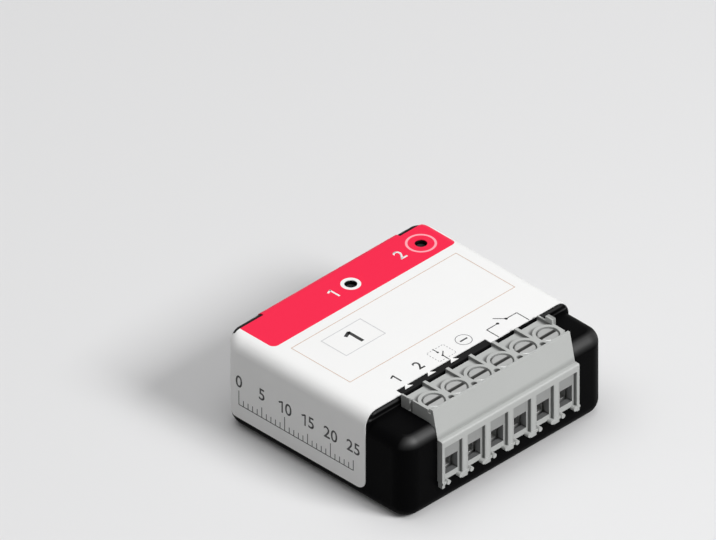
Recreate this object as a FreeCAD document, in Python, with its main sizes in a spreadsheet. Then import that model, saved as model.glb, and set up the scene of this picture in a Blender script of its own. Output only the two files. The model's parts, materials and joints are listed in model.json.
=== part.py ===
"""Smart relay module: a mains switching module for a wall box, in millimetres.

+X runs along the row of terminals, -Y is the terminal side, +Z is up.
The origin is the middle of the case's flat bottom.
"""
import FreeCAD, Part
import os
import re

import Sketcher
from FreeCAD import Placement, Rotation, Vector

doc = FreeCAD.newDocument("SmartRelayModule")

# Driving dimensions. Depths are counted from the case's front face, heights from its bottom.
SIZES = (
    ("case_width", 44.0, "case, outside, along the terminals"),
    ("case_depth", 40.0, "case, outside, front to back"),
    ("deck_rise", 1.35, "raised deck above the ledge"),
    ("ledge_height", 15.3, "top of the ledge beside the terminal block"),
    ("seam_drop", 2.3, "ledge top down to the joint between tub and cover"),
    ("corner_radius", 3.2, "upright corners of the case"),
    ("base_radius", 2.5, "bottom edges of the case"),
    ("ledge_radius", 2.3, "top edges of the ledge"),
    ("deck_radius", 2.3, "side edges of the deck"),
    ("deck_back_radius", 1.0, "back edge of the deck"),
    ("deck_front_radius", 0.5, "front edge of the deck"),
    ("deck_end_radius", 0.35, "upright front corners of the deck"),
    ("wall", 1.4, "side walls"),
    ("floor_thickness", 1.4, "floor of the tub"),
    ("roof_thickness", 1.4, "roof of the cover"),
    ("part_gap", 0.1, "clearance between parts that slip together"),
    ("lip_depth", 1.2, "cover's lip inside the tub"),
    ("lip_thickness", 0.8, "cover's lip inside the tub"),
    ("hook_width", 4.0, "snap hook"),
    ("hook_length", 3.2, "snap hook below the seam"),
    ("catch_height", 1.0, "nose of the snap hook"),
    ("catch_reach", 0.4, "nose of the snap hook"),
    ("hook_front", 15.0, "first pair of snap hooks"),
    ("hook_back", 9.0, "second pair of snap hooks, from the back"),
    ("label_gap", 0.02, "adhesive under the label"),
    ("label_thickness", 0.13, "label film"),
    ("label_set_back", 0.5, "front edge of the label behind the deck's front wall"),
    ("label_back_gap", 0.9, "back edge of the label at the sides, from the back"),
    ("label_top_gap", 1.25, "back edge of the label on the deck, from the back"),
    ("label_step", 1.4, "step of that back edge, from the side"),
    ("label_bottom", 2.4, "lower edge of the label at the sides"),
    ("label_corner", 1.8, "lower corners of the label"),
    ("flap_left_gap", 7.7, "flap over the back edge, from the left side"),
    ("flap_right_gap", 6.5, "flap over the back edge, from the right side"),
    ("flap_bottom", 9.0, "lower edge of the flap on the back wall"),
    ("notch_start", 0.83, "notch in the label, from the left end of the terminals"),
    ("notch_end", 9.72, "notch in the label, from the right end of the terminals"),
    ("notch_depth", 1.3, "notch in the front edge of the label"),
    ("light_x", 1.1, "status light, from the middle"),
    ("button_side", 5.55, "push button, from the right side"),
    ("pinholes_back", 4.9, "status light and button, from the back"),
    ("light_hole_radius", 1.03, "hole over the status light"),
    ("button_hole_radius", 1.0, "hole over the push button"),
    ("pinhole_recess", 0.6, "button and light pipe below the deck"),
    ("poles", 6, "terminals in the row"),
    ("pole_pitch", 5.0, "terminal to terminal"),
    ("terminal_back", 8.0, "back of the terminal block"),
    ("terminal_gap", 0.2, "terminal block to the deck's front wall"),
    ("terminal_proud", 1.0, "terminal block in front of the case"),
    ("terminal_rise", 2.2, "top plane of the terminal block above the ledge"),
    ("crest_rise", 0.3, "crest above that top, along the front"),
    ("crest_back", 1.5, "back edge of the crest"),
    ("crest_front", 1.1, "front edge of the crest"),
    ("shelf_height", 12.75, "foot of the sloping front"),
    ("shelf_round", 0.3, "front edge of that shelf"),
    ("sill_height", 5.0, "lower edge of the wire plates"),
    ("lintel_height", 1.25, "shelf down to the recess round a wire opening"),
    ("window_recess", 0.5, "depth of that recess"),
    ("entry_width", 2.7, "wire opening"),
    ("entry_sill", 1.0, "wire opening above the sill"),
    ("entry_height", 3.1, "wire opening"),
    ("cell_width", 3.8, "room of a clamping cage, side to side"),
    ("cell_front", 0.6, "room of a clamping cage"),
    ("cell_back", 7.4, "room of a clamping cage"),
    ("cage_headroom", 0.2, "fully raised cage to the top of its room"),
    ("screw_front", 3.4, "screw axes"),
    ("well_radius", 1.9, "round well of a screw head"),
    ("head_clearance", 0.05, "screw head to the bottom of its well"),
    ("ring_radius", 2.45, "outside of the wall round a well"),
    ("pocket_depth", 0.55, "hollows behind the screws"),
    ("pocket_front", 3.4, "front of those hollows"),
    ("fin_overhang", 0.4, "fins behind the back of those hollows"),
    ("relief_depth", 1.8, "cut behind those hollows"),
    ("fin_thickness", 0.6, "fins between those hollows"),
    ("dimple_radius", 0.45, "dimples between the screws"),
    ("dimple_front", 1.9, "dimples between the screws"),
    ("dimple_depth", 0.8, "dimples between the screws"),
    ("rib_width", 1.2, "ribs between the wire openings"),
    ("rib_bottom", 4.0, "lower ends of those ribs"),
    ("foot_reach", 1.15, "knobs at the foot of a rib, from its middle"),
    ("foot_level", 4.9, "knobs at the foot of a rib"),
    ("foot_knob", 0.4, "knobs at the foot of a rib"),
    ("foot_neck", 0.4, "bar between those knobs"),
    ("foot_proud", 0.35, "knobs in front of the block"),
    ("key_front", 4.7, "joining rib on the right end, front edge"),
    ("key_back", 6.2, "joining rib on the right end, back edge"),
    ("key_rise", 0.8, "joining rib above the top plane"),
    ("key_reach", 0.5, "joining rib on the right end"),
    ("groove_front", 5.8, "groove in the left end"),
    ("groove_width", 0.5, "groove in the left end"),
    ("groove_depth", 0.6, "groove in the left end"),
    ("nick_width", 0.7, "nicks behind the ends of the crest"),
    ("nick_depth", 0.6, "nicks behind the ends of the crest"),
    ("nick_reach", 0.3, "nicks behind the ends of the crest"),
    ("head_radius", 1.75, "clamp screw head"),
    ("head_sink", 0.1, "clamp screw head below the top plane"),
    ("head_height", 1.6, "clamp screw head"),
    ("head_chamfer", 0.2, "clamp screw head"),
    ("slot_width", 0.6, "driver slot"),
    ("slot_depth", 0.8, "driver slot"),
    ("shank_radius", 1.25, "clamp screw thread"),
    ("shank_clearance", 0.15, "clamp screw in the moulded housing"),
    ("thread_clearance", 0.05, "clamp screw in the cage"),
    ("tip_clearance", 0.7, "screw tip above the contact bar"),
    ("cage_clearance", 0.15, "cage to the walls of its room"),
    ("cage_length", 4.4, "clamping cage, front to back"),
    ("cage_side", 0.4, "clamping cage side walls"),
    ("cage_floor", 0.8, "clamping cage floor"),
    ("cage_roof", 1.2, "clamping cage threaded roof"),
    ("bar_clearance", 0.1, "contact bar to the wire opening and the cage roof"),
    ("bar_thickness", 0.8, "contact bar"),
    ("bar_width", 2.2, "contact bar"),
    ("bar_front", 0.8, "front end of the contact bar"),
    ("tail_front", 6.4, "solder tail of the contact bar"),
    ("tail_thickness", 0.7, "solder tail of the contact bar"),
    ("tail_width", 1.2, "solder tail of the contact bar"),
    ("pin_gap", 0.3, "ends of all pins and leads above the floor"),
    ("lead_radius", 0.3, "leads of the wired components"),
    ("lead_clearance", 0.1, "leads in their board holes"),
    ("post_height", 1.0, "posts under the main board"),
    ("board_thickness", 1.6, "main board"),
    ("board_gap", 0.3, "main board to the case walls"),
    ("board_corner", 1.8, "corners of the main board"),
    ("post_radius", 1.6, "posts under the main board"),
    ("post_side", 5.5, "posts, from the side faces"),
    ("post_inset", 4.9, "posts, from the front and back faces"),
    ("clip_width", 3.0, "clips over the main board"),
    ("clip_reach", 0.9, "clips over the main board"),
    ("clip_height", 0.6, "clips over the main board"),
    ("logic_drop", 4.25, "underside of the roof to the underside of the logic board"),
    ("logic_thickness", 1.0, "logic board"),
    ("logic_depth", 10.1, "logic board, front to back"),
    ("logic_gap", 0.4, "logic board to the cover's lip"),
    ("spacer_radius", 1.2, "spacers under the logic board"),
    ("spacer_inset", 1.7, "left spacer, from the left edge of the logic board"),
    ("spacer_back", 1.5, "left spacer, from the back edge of the logic board"),
    ("peg_inset", 2.1, "hold-down pegs, from the front edge of the logic board"),
    ("peg_radius", 1.0, "hold-down pegs of the cover"),
    ("peg_gap", 2.0, "left hold-down peg, from the radio board"),
    ("peg_side", 4.95, "right hold-down peg, from the push button"),
    ("header_inset", 1.3, "pin header, from the back edge of the logic board"),
    ("header_pins", 5, "pins in the header"),
    ("header_pitch", 2.0, "header pin to pin"),
    ("header_strip_width", 2.0, "header strip"),
    ("header_strip_height", 2.0, "header strip"),
    ("header_pin_side", 0.5, "square header pins"),
    ("header_pin_rise", 0.8, "header pins above the logic board"),
    ("row_gap", 0.9, "front row of parts behind the cover's front wall"),
    ("relay_length", 19.2, "relay case"),
    ("relay_width", 10.2, "relay case"),
    ("relay_headroom", 0.85, "relay case below the roof"),
    ("relay_wall", 0.6, "relay case"),
    ("relay_base_height", 1.4, "relay base plate"),
    ("relay_round", 0.4, "relay case edges"),
    ("yoke_width", 6.0, "relay yoke"),
    ("yoke_thickness", 0.8, "relay yoke plate"),
    ("yoke_post", 0.9, "relay yoke upright"),
    ("yoke_inset", 1.8, "outer face of the yoke upright, from the relay's right end"),
    ("yoke_length", 9.6, "relay yoke plate"),
    ("pivot_drop", 2.6, "armature pivot below the top of the relay"),
    ("core_inset", 5.3, "relay core, from the outer face of the yoke upright"),
    ("core_radius", 1.6, "relay core"),
    ("core_clearance", 0.05, "relay core in the bobbin"),
    ("pole_radius", 2.4, "pole face of the core"),
    ("pole_thickness", 0.6, "pole face of the core"),
    ("bobbin_side", 8.0, "bobbin flanges"),
    ("flange_thickness", 0.7, "bobbin flanges"),
    ("tube_radius", 2.3, "bobbin tube"),
    ("coil_radius", 3.8, "outside of the winding"),
    ("armature_length", 9.0, "relay armature, from its pivot"),
    ("armature_thickness", 0.7, "relay armature"),
    ("armature_heel", 0.5, "relay armature behind its pivot"),
    ("armature_gap", 0.05, "relay armature to the yoke"),
    ("armature_open", 3.0, "relay armature at rest, degrees"),
    ("leaf_overhang", 0.4, "moving contact spring beyond its contact"),
    ("leaf_width", 3.6, "moving contact spring"),
    ("leaf_thickness", 0.2, "moving contact spring"),
    ("contact_radius", 1.0, "contact buttons"),
    ("contact_height", 0.5, "contact buttons"),
    ("contact_at", 4.0, "contacts, from the relay's left end"),
    ("contact_pause", 0.05, "gap left when the contacts are closed"),
    ("strip_thickness", 0.4, "fixed contact strip"),
    ("strip_width", 3.0, "fixed contact strip"),
    ("strip_at", 1.3, "fixed contact strip, from the relay's left end"),
    ("coil_pin_side", 0.5, "coil pins"),
    ("coil_pin_spread", 3.7, "coil pins, from the relay's centre line"),
    ("coil_pin_inset", 2.9, "coil pins, from the core"),
    ("film_length", 11.0, "film capacitor"),
    ("film_width", 5.0, "film capacitor"),
    ("film_height", 9.0, "film capacitor"),
    ("film_round", 0.5, "film capacitor edges"),
    ("film_lead_spread", 5.0, "film capacitor leads, from its middle"),
    ("varistor_radius", 3.6, "varistor disc"),
    ("varistor_thickness", 3.2, "varistor disc"),
    ("varistor_round", 0.9, "varistor rim"),
    ("varistor_lift", 0.6, "varistor disc above the board"),
    ("varistor_lead_spread", 2.5, "varistor leads, from its middle"),
    ("fuse_gap", 1.0, "fusible resistor behind the film capacitor"),
    ("fuse_length", 7.0, "fusible resistor"),
    ("fuse_radius", 1.4, "fusible resistor"),
    ("fuse_round", 0.6, "fusible resistor ends"),
    ("fuse_lift", 0.5, "fusible resistor above the board"),
    ("fuse_lead_spread", 4.7, "fusible resistor leads, from its middle"),
    ("choke_radius", 3.3, "inductor core flanges"),
    ("choke_height", 6.4, "inductor core"),
    ("choke_flange", 1.2, "inductor core flanges"),
    ("choke_waist", 1.6, "inductor core waist"),
    ("choke_winding", 2.9, "outside of the inductor's winding"),
    ("choke_lead_spread", 2.0, "inductor leads, from its middle"),
    ("can_radius", 2.5, "electrolytic capacitors"),
    ("can_length", 10.8, "electrolytic capacitors"),
    ("can_round", 0.5, "closed ends of the cans"),
    ("can_lift", 0.1, "electrolytic capacitors above the board"),
    ("can_gap", 1.15, "electrolytic capacitors in front of the header strip"),
    ("bung_radius", 2.1, "rubber bungs of the cans"),
    ("bung_length", 0.6, "rubber bungs of the cans"),
    ("can_lead_spread", 1.0, "can leads, from the axis"),
    ("can_lead_reach", 1.2, "can leads, from the bung to the bend"),
    ("bridge_length", 4.7, "bridge rectifier body"),
    ("bridge_width", 3.9, "bridge rectifier body"),
    ("bridge_height", 1.6, "bridge rectifier body"),
    ("regulator_length", 3.9, "switching regulator body"),
    ("regulator_width", 4.9, "switching regulator body"),
    ("regulator_height", 1.4, "switching regulator body"),
    ("driver_length", 1.4, "relay driver transistor body"),
    ("driver_width", 2.9, "relay driver transistor body"),
    ("driver_height", 0.9, "relay driver transistor body"),
    ("leg_reach", 1.0, "flat legs of the chips, beyond the body"),
    ("leg_thickness", 0.2, "flat legs of the chips"),
    ("leg_width", 0.45, "flat legs of the chips"),
    ("chip_lift", 0.1, "chip bodies above the board"),
    ("chip_length", 1.6, "chip resistors and capacitors"),
    ("chip_width", 0.8, "chip resistors and capacitors"),
    ("chip_height", 0.5, "chip resistors and capacitors"),
    ("radio_side", 1.1, "radio module, from the left edge of the logic board"),
    ("radio_inset", 0.3, "radio module, from the front edge of the logic board"),
    ("radio_length", 13.6, "radio module board"),
    ("radio_width", 8.0, "radio module board"),
    ("radio_thickness", 0.8, "radio module board"),
    ("shield_length", 9.0, "shield can of the radio"),
    ("shield_width", 7.0, "shield can of the radio"),
    ("shield_height", 1.5, "shield can of the radio"),
    ("shield_round", 0.3, "shield can of the radio"),
    ("aerial_length", 6.6, "chip antenna"),
    ("aerial_width", 1.6, "chip antenna"),
    ("aerial_height", 1.0, "chip antenna"),
    ("radio_margin", 0.5, "shield and antenna to the ends of the radio board"),
    ("tact_side", 4.0, "tact switch body"),
    ("tact_leg_reach", 0.3, "tact switch legs, beyond the body"),
    ("tact_height", 1.7, "tact switch body"),
    ("plunger_radius", 1.0, "tact switch plunger"),
    ("plunger_clearance", 0.05, "tact switch plunger in its body"),
    ("plunger_seat", 0.5, "floor under the plunger's stroke"),
    ("plunger_top", 2.3, "tact switch plunger above the logic board"),
    ("button_travel", 0.3, "stroke of the push button"),
    ("button_play", 0.05, "push button to the plunger"),
    ("button_clearance", 0.1, "push button in its hole"),
    ("collar_radius", 1.7, "collars of the button and the light pipe"),
    ("collar_height", 0.6, "collars of the button and the light pipe"),
    ("light_length", 1.6, "status light"),
    ("light_width", 0.9, "status light"),
    ("light_height", 0.7, "status light"),
    ("light_pipe_gap", 0.3, "light pipe above the status light"),
    ("clamp_travel", 2.5, "stroke of the clamping cages"),
)

sheet = doc.addObject("Spreadsheet::Sheet", "Sizes")
for row, (alias, number, note) in enumerate(SIZES, 1):
    sheet.set(f"A{row}", note)
    sheet.set(f"B{row}", str(number))
    sheet.setAlias(f"B{row}", alias)
doc.recompute()
size = {alias: float(sheet.get(alias)) for alias, number, note in SIZES}

# Sizes and places that follow from the sheet.
DERIVED = {
    "deck_height": "ledge_height + deck_rise",
    "seam_height": "ledge_height - seam_drop",
    "roof_bottom": "deck_height - roof_thickness",
    "terminal_top": "ledge_height + terminal_rise",
    "board_bottom": "floor_thickness + post_height",
    "board_top": "board_bottom + board_thickness",
    "logic_bottom": "roof_bottom - logic_drop",
    "logic_top": "logic_bottom + logic_thickness",
    "pin_depth": "floor_thickness + pin_gap",
    "ledge_depth": "terminal_back + terminal_gap",
    "inner_side": "case_width / 2 - wall - part_gap - lip_thickness",
    "inner_back": "case_depth - wall - part_gap - lip_thickness",
    "hook_far": "case_depth - hook_back",
    "clip_depth": "(hook_front + hook_far) / 2",
    "post_x": "case_width / 2 - post_side",
    "post_far": "case_depth - post_inset",
    "label_front": "ledge_depth + label_set_back",
    "label_back": "case_depth - label_back_gap",
    "label_top_back": "case_depth - label_top_gap",
    "flap_left": "-case_width / 2 + flap_left_gap",
    "flap_right": "case_width / 2 - flap_right_gap",
    "button_x": "case_width / 2 - button_side",
    "pinholes_depth": "case_depth - pinholes_back",
    "row_width": "poles * pole_pitch",
    "first_pole": "-(poles - 1) * pole_pitch / 2",
    "notch_left": "-row_width / 2 + notch_start",
    "notch_right": "row_width / 2 - notch_end",
    "notch_back": "label_front + notch_depth",
    "crest_height": "terminal_top + crest_rise",
    "key_height": "terminal_top + key_rise",
    "window_top": "shelf_height - lintel_height",
    "entry_bottom": "sill_height + entry_sill",
    "entry_top": "entry_bottom + entry_height",
    "bar_bottom": "entry_top + bar_clearance",
    "bar_top": "bar_bottom + bar_thickness",
    "cage_half": "cell_width / 2 - cage_clearance",
    "cage_bottom": "entry_bottom - cage_floor",
    "cage_window_top": "bar_top + bar_clearance",
    "cage_top": "cage_window_top + cage_roof",
    "cell_top": "cage_top + clamp_travel + cage_headroom",
    "head_top": "terminal_top - head_sink",
    "head_bottom": "head_top - head_height",
    "well_bottom": "head_bottom - head_clearance",
    "screw_tip": "bar_top + tip_clearance",
    "logic_half": "inner_side - logic_gap",
    "logic_back": "inner_back - board_gap",
    "logic_front": "logic_back - logic_depth",
    "spacer_left": "-logic_half + spacer_inset",
    "peg_depth": "logic_front + peg_inset",
    "radio_x": "-logic_half + radio_side + radio_length / 2",
    "radio_depth": "logic_front + radio_inset + radio_width / 2",
    "peg_left": "radio_x + radio_length / 2 + peg_gap",
    "peg_right": "button_x - peg_side",
    "header_pin_top": "logic_top + header_pin_rise",
    "header_x": "(light_x + button_x) / 2",
    "header_depth": "logic_back - header_inset",
    "row_front": "ledge_depth + wall + row_gap",
    "front_gap": "(2 * inner_side - film_length - varistor_thickness - relay_length) / 4",
    "film_x": "-inner_side + front_gap + film_length / 2",
    "varistor_x": "film_x + film_length / 2 + front_gap + varistor_thickness / 2",
    "relay_left": "inner_side - front_gap - relay_length",
    "relay_back": "row_front + relay_width",
    "relay_middle": "row_front + relay_width / 2",
    "relay_height": "roof_bottom - board_top - relay_headroom",
    "relay_floor": "board_top + relay_base_height",
    "pivot_level": "board_top + relay_height - pivot_drop",
    "bobbin_bottom": "relay_floor + yoke_thickness",
    "pole_level": "pivot_level - armature_gap",
    "bobbin_top": "pole_level - pole_thickness",
    "yoke_end": "relay_left + relay_length - yoke_inset",
    "core_x": "yoke_end - core_inset",
    "contact_x": "relay_left + contact_at",
    "coil_pin_x": "core_x - coil_pin_inset",
    "can_depth": "header_depth - header_strip_width / 2 - can_gap - can_radius",
    "can_span": "can_length + bung_length + can_lead_reach + lead_radius",
    "can_axis": "board_top + can_lift + can_radius",
    "back_gap": "(2 * inner_side - 2 * can_span - 2 * spacer_radius) / 4",
    "can_first": "-inner_side + back_gap",
    "can_second": "can_first + can_span + back_gap",
    "spacer_right": "inner_side - back_gap - spacer_radius",
    "varistor_depth": "row_front + varistor_radius",
    "film_depth": "row_front + film_width / 2",
    "fuse_x": "film_x",
    "fuse_depth": "row_front + film_width + fuse_gap + fuse_radius",
    "fuse_axis": "board_top + fuse_lift + fuse_radius",
    "left_gap": "(relay_left + inner_side - regulator_length - 2 * leg_reach - 2 * choke_radius) / 3",
    "regulator_x": "-inner_side + left_gap + leg_reach + regulator_length / 2",
    "regulator_depth": "(fuse_depth + fuse_radius + can_depth - can_radius) / 2",
    "choke_x": "relay_left - left_gap - choke_radius",
    "choke_depth": "(row_front + 2 * varistor_radius + can_depth - can_radius) / 2",
    "chip_depth": "(relay_back + can_depth - can_radius) / 2",
    "right_gap": "(inner_side - relay_left - 2 * chip_length - driver_length - bridge_length"
                 " - 4 * leg_reach) / 5",
    "column_x": "relay_left + right_gap + chip_length / 2",
    "driver_x": "column_x + 1.5 * chip_length + 2 * right_gap + leg_reach + driver_length / 2",
    "bridge_x": "inner_side - right_gap - leg_reach - bridge_length / 2",
}

nodes = {}


def linked(text):
    """Point every size named in a formula at its cell."""
    def cell(match):
        word = match.group()
        if word in DERIVED:
            return f"({linked(DERIVED[word])})"
        return f"Sizes.{word}" if word in size else word
    return re.sub(r"[A-Za-z_]\w*", cell, str(text))


def front(depth):
    """Y of a depth behind the case's front face."""
    return f"({depth}) - case_depth / 2"


def bind(item, **formulas):
    """Tie properties to the sheet; a dotted name is written with two underscores."""
    for name, formula in formulas.items():
        item.setExpression(name.replace("__", "."), linked(formula))
    return item


def place(item, x="0", y="0", z="0"):
    return bind(item, Placement__Base__x=x, Placement__Base__y=y, Placement__Base__z=z)


def node(item, label):
    """Name a finished sub-part."""
    item.Label = label
    nodes[label] = item
    return item


def box(name, x, y, z, length, width, height):
    """A block given by its lowest corner."""
    block = doc.addObject("Part::Box", name)
    return place(bind(block, Length=length, Width=width, Height=height), x, y, z)


def block(name, x, y, z, length, width, height):
    """A block given by the middle of its bottom."""
    return box(name, f"({x}) - ({length}) / 2", f"({y}) - ({width}) / 2", z, length, width, height)


def rod(name, x, y, z, radius, height, along="Z"):
    """A cylinder given by the middle of its first end."""
    turns = {"X": Rotation(Vector(0, 1, 0), 90), "Y": Rotation(Vector(1, 0, 0), -90), "Z": Rotation()}
    cylinder = doc.addObject("Part::Cylinder", name)
    cylinder.Placement = Placement(Vector(), turns[along])
    return place(bind(cylinder, Radius=radius, Height=height), x, y, z)


def fuse(name, *pieces):
    joined = doc.addObject("Part::MultiFuse", name)
    joined.Shapes = list(pieces)
    return joined


def cut(name, base, *tools):
    """Take one or more tools away from a piece."""
    difference = doc.addObject("Part::Cut", name)
    difference.Base = base
    difference.Tool = tools[0] if len(tools) == 1 else fuse(f"{name}_tools", *tools)
    return difference


def common(name, *pieces):
    shared = doc.addObject("Part::MultiCommon", name)
    shared.Shapes = list(pieces)
    return shared


def group(name, pieces):
    """Separate solids that share one node."""
    together = doc.addObject("Part::Compound", name)
    together.Links = list(pieces)
    return together


def round_edges(name, base, radii):
    """Round edges of a block, each named by where its middle lies, 0 to 1 along X, Y and Z."""
    doc.recompute()
    bounds = base.Shape.BoundBox
    picked = []
    for number, edge in enumerate(base.Shape.Edges, 1):
        middle = edge.CenterOfMass
        spot = (round((middle.x - bounds.XMin) / bounds.XLength, 1),
                round((middle.y - bounds.YMin) / bounds.YLength, 1),
                round((middle.z - bounds.ZMin) / bounds.ZLength, 1))
        if spot in radii:
            picked.append((number, radii[spot], radii[spot]))
    rounded = doc.addObject("Part::Fillet", name)
    rounded.Base = base
    rounded.Edges = picked
    return rounded


UPRIGHTS = ((0, 0, 0.5), (1, 0, 0.5), (0, 1, 0.5), (1, 1, 0.5))
TOP_EDGES = ((0, 0.5, 1), (1, 0.5, 1), (0.5, 0, 1), (0.5, 1, 1))
BOTTOM_EDGES = ((0, 0.5, 0), (1, 0.5, 0), (0.5, 0, 0), (0.5, 1, 0))


def new_body(name):
    return doc.addObject("PartDesign::Body", name)


def origin_item(body, role):
    return next(item for item in body.Origin.OriginFeatures if item.Role == role)


def sketch_on(body, plane, offset="0"):
    """An empty sketch on one of the body's own origin planes, moved along its normal."""
    sketch = body.newObject("Sketcher::SketchObject", f"{body.Name}_sketch")
    sketch.AttachmentSupport = [(origin_item(body, plane), "")]
    sketch.MapMode = "FlatFace"
    return bind(sketch, AttachmentOffset__Base__z=offset)


def draw_outline(sketch, corners):
    """A closed outline with straight sides, each corner held by the sheet."""
    first = sketch.GeometryCount
    count = len(corners)
    for index in range(count):
        here = Vector(index, index * index, 0)
        after = (index + 1) % count
        there = Vector(after, after * after, 0)
        sketch.addGeometry(Part.LineSegment(here, there), False)
    for index in range(count):
        after = first + (index + 1) % count
        sketch.addConstraint(Sketcher.Constraint("Coincident", first + index, 2, after, 1))
    for index, corner in enumerate(corners):
        for kind, formula in zip(("DistanceX", "DistanceY"), corner):
            held = sketch.addConstraint(Sketcher.Constraint(kind, -1, 1, first + index, 1, 1.0))
            sketch.setExpression(f"Constraints[{held}]", linked(formula))


def draw_rectangle(sketch, left, right, low, high):
    draw_outline(sketch, ((left, low), (right, low), (right, high), (left, high)))


def draw_circle(sketch, x, y, radius):
    ring = sketch.addGeometry(Part.Circle(Vector(1, 1, 0), Vector(0, 0, 1), 1), False)
    for kind, formula in (("DistanceX", x), ("DistanceY", y)):
        held = sketch.addConstraint(Sketcher.Constraint(kind, -1, 1, ring, 3, 1.0))
        sketch.setExpression(f"Constraints[{held}]", linked(formula))
    held = sketch.addConstraint(Sketcher.Constraint("Radius", ring, 1.0))
    sketch.setExpression(f"Constraints[{held}]", linked(radius))


def extrude(body, kind, sketch, length, reverse=False, both_ways=False):
    """A Pad or a Pocket of one sketch."""
    feature = body.newObject(f"PartDesign::{kind}", f"{body.Name}_{kind.lower()}")
    feature.Profile = sketch
    feature.Reversed = reverse
    feature.Midplane = both_ways
    return bind(feature, Length=length)


def spin(body, sketch):
    """A full turn of one sketch round the body's own Z axis."""
    turned = body.newObject("PartDesign::Revolution", f"{body.Name}_turned")
    turned.Profile = sketch
    turned.ReferenceAxis = (sketch, ["V_Axis"])
    turned.Angle = 360
    return turned


def repeat_along_row(body, features):
    """Repeat features of the first pole at every pole."""
    pattern = body.newObject("PartDesign::LinearPattern", f"{body.Name}_row")
    pattern.Originals = features
    pattern.Direction = (origin_item(body, "X_Axis"), [""])
    bind(pattern, Length="(poles - 1) * pole_pitch", Occurrences="poles")
    body.Tip = pattern
    return pattern


def fillet_body_edges(body, radius, wanted):
    """Round the edges of the body's last feature that the test picks."""
    doc.recompute()
    base = body.Tip
    names = [f"Edge{number}" for number, edge in enumerate(base.Shape.Edges, 1) if wanted(edge)]
    rounded = body.newObject("PartDesign::Fillet", f"{body.Name}_round")
    rounded.Base = (base, names)
    return bind(rounded, Radius=radius)


def upright(edge):
    return abs(edge.tangentAt(edge.FirstParameter).z) > 0.99 and edge.BoundBox.ZLength > size["wall"]


# Case


def case_skin(name, *layers):
    """The closed case's outside, grown by the named layers."""
    grow = " + ".join(layers) if layers else "0"
    extra = sum(size[layer] for layer in layers)
    side = f"case_width / 2 + {grow}"
    low = block(f"{name}_low", "0", "0", f"-({grow})", f"2 * ({side})",
                f"case_depth + 2 * ({grow})", f"ledge_height + 2 * ({grow})")
    low_radii = {spot: size["corner_radius"] + extra for spot in UPRIGHTS}
    low_radii.update({spot: size["base_radius"] + extra for spot in BOTTOM_EDGES})
    low_radii.update({spot: size["ledge_radius"] + extra for spot in TOP_EDGES})
    deck = box(f"{name}_deck", f"-({side})", front(f"ledge_depth - ({grow})"), "seam_height",
               f"2 * ({side})", f"case_depth - ledge_depth + 2 * ({grow})",
               f"deck_height - seam_height + {grow}")
    deck_radii = {(0, 1, 0.5): size["corner_radius"] + extra, (1, 1, 0.5): size["corner_radius"] + extra,
                  (0, 0, 0.5): size["deck_end_radius"] + extra, (1, 0, 0.5): size["deck_end_radius"] + extra,
                  (0, 0.5, 1): size["deck_radius"] + extra, (1, 0.5, 1): size["deck_radius"] + extra,
                  (0.5, 1, 1): size["deck_back_radius"] + extra,
                  (0.5, 0, 1): size["deck_front_radius"] + extra}
    return fuse(name, round_edges(f"{name}_low_round", low, low_radii),
                round_edges(f"{name}_deck_round", deck, deck_radii))


def room(name, low, high, layers, front_layers=None):
    """The hollow inside the named layers of the case's sides, between two heights."""
    inset = " + ".join(layers)
    start = " + ".join(front_layers or layers)
    plain = box(f"{name}Plain", f"-case_width / 2 + {inset}", front(start), low,
                f"case_width - 2 * ({inset})", f"case_depth - ({inset}) - ({start})",
                f"({high}) - ({low})")
    radius = size["corner_radius"] - sum(size[layer] for layer in layers)
    return round_edges(name, plain, {spot: radius for spot in UPRIGHTS})


def hook_places():
    """Side sign and depth of each snap hook."""
    for side in (-1, 1):
        for depth in ("hook_front", "hook_far"):
            yield side, depth


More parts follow.
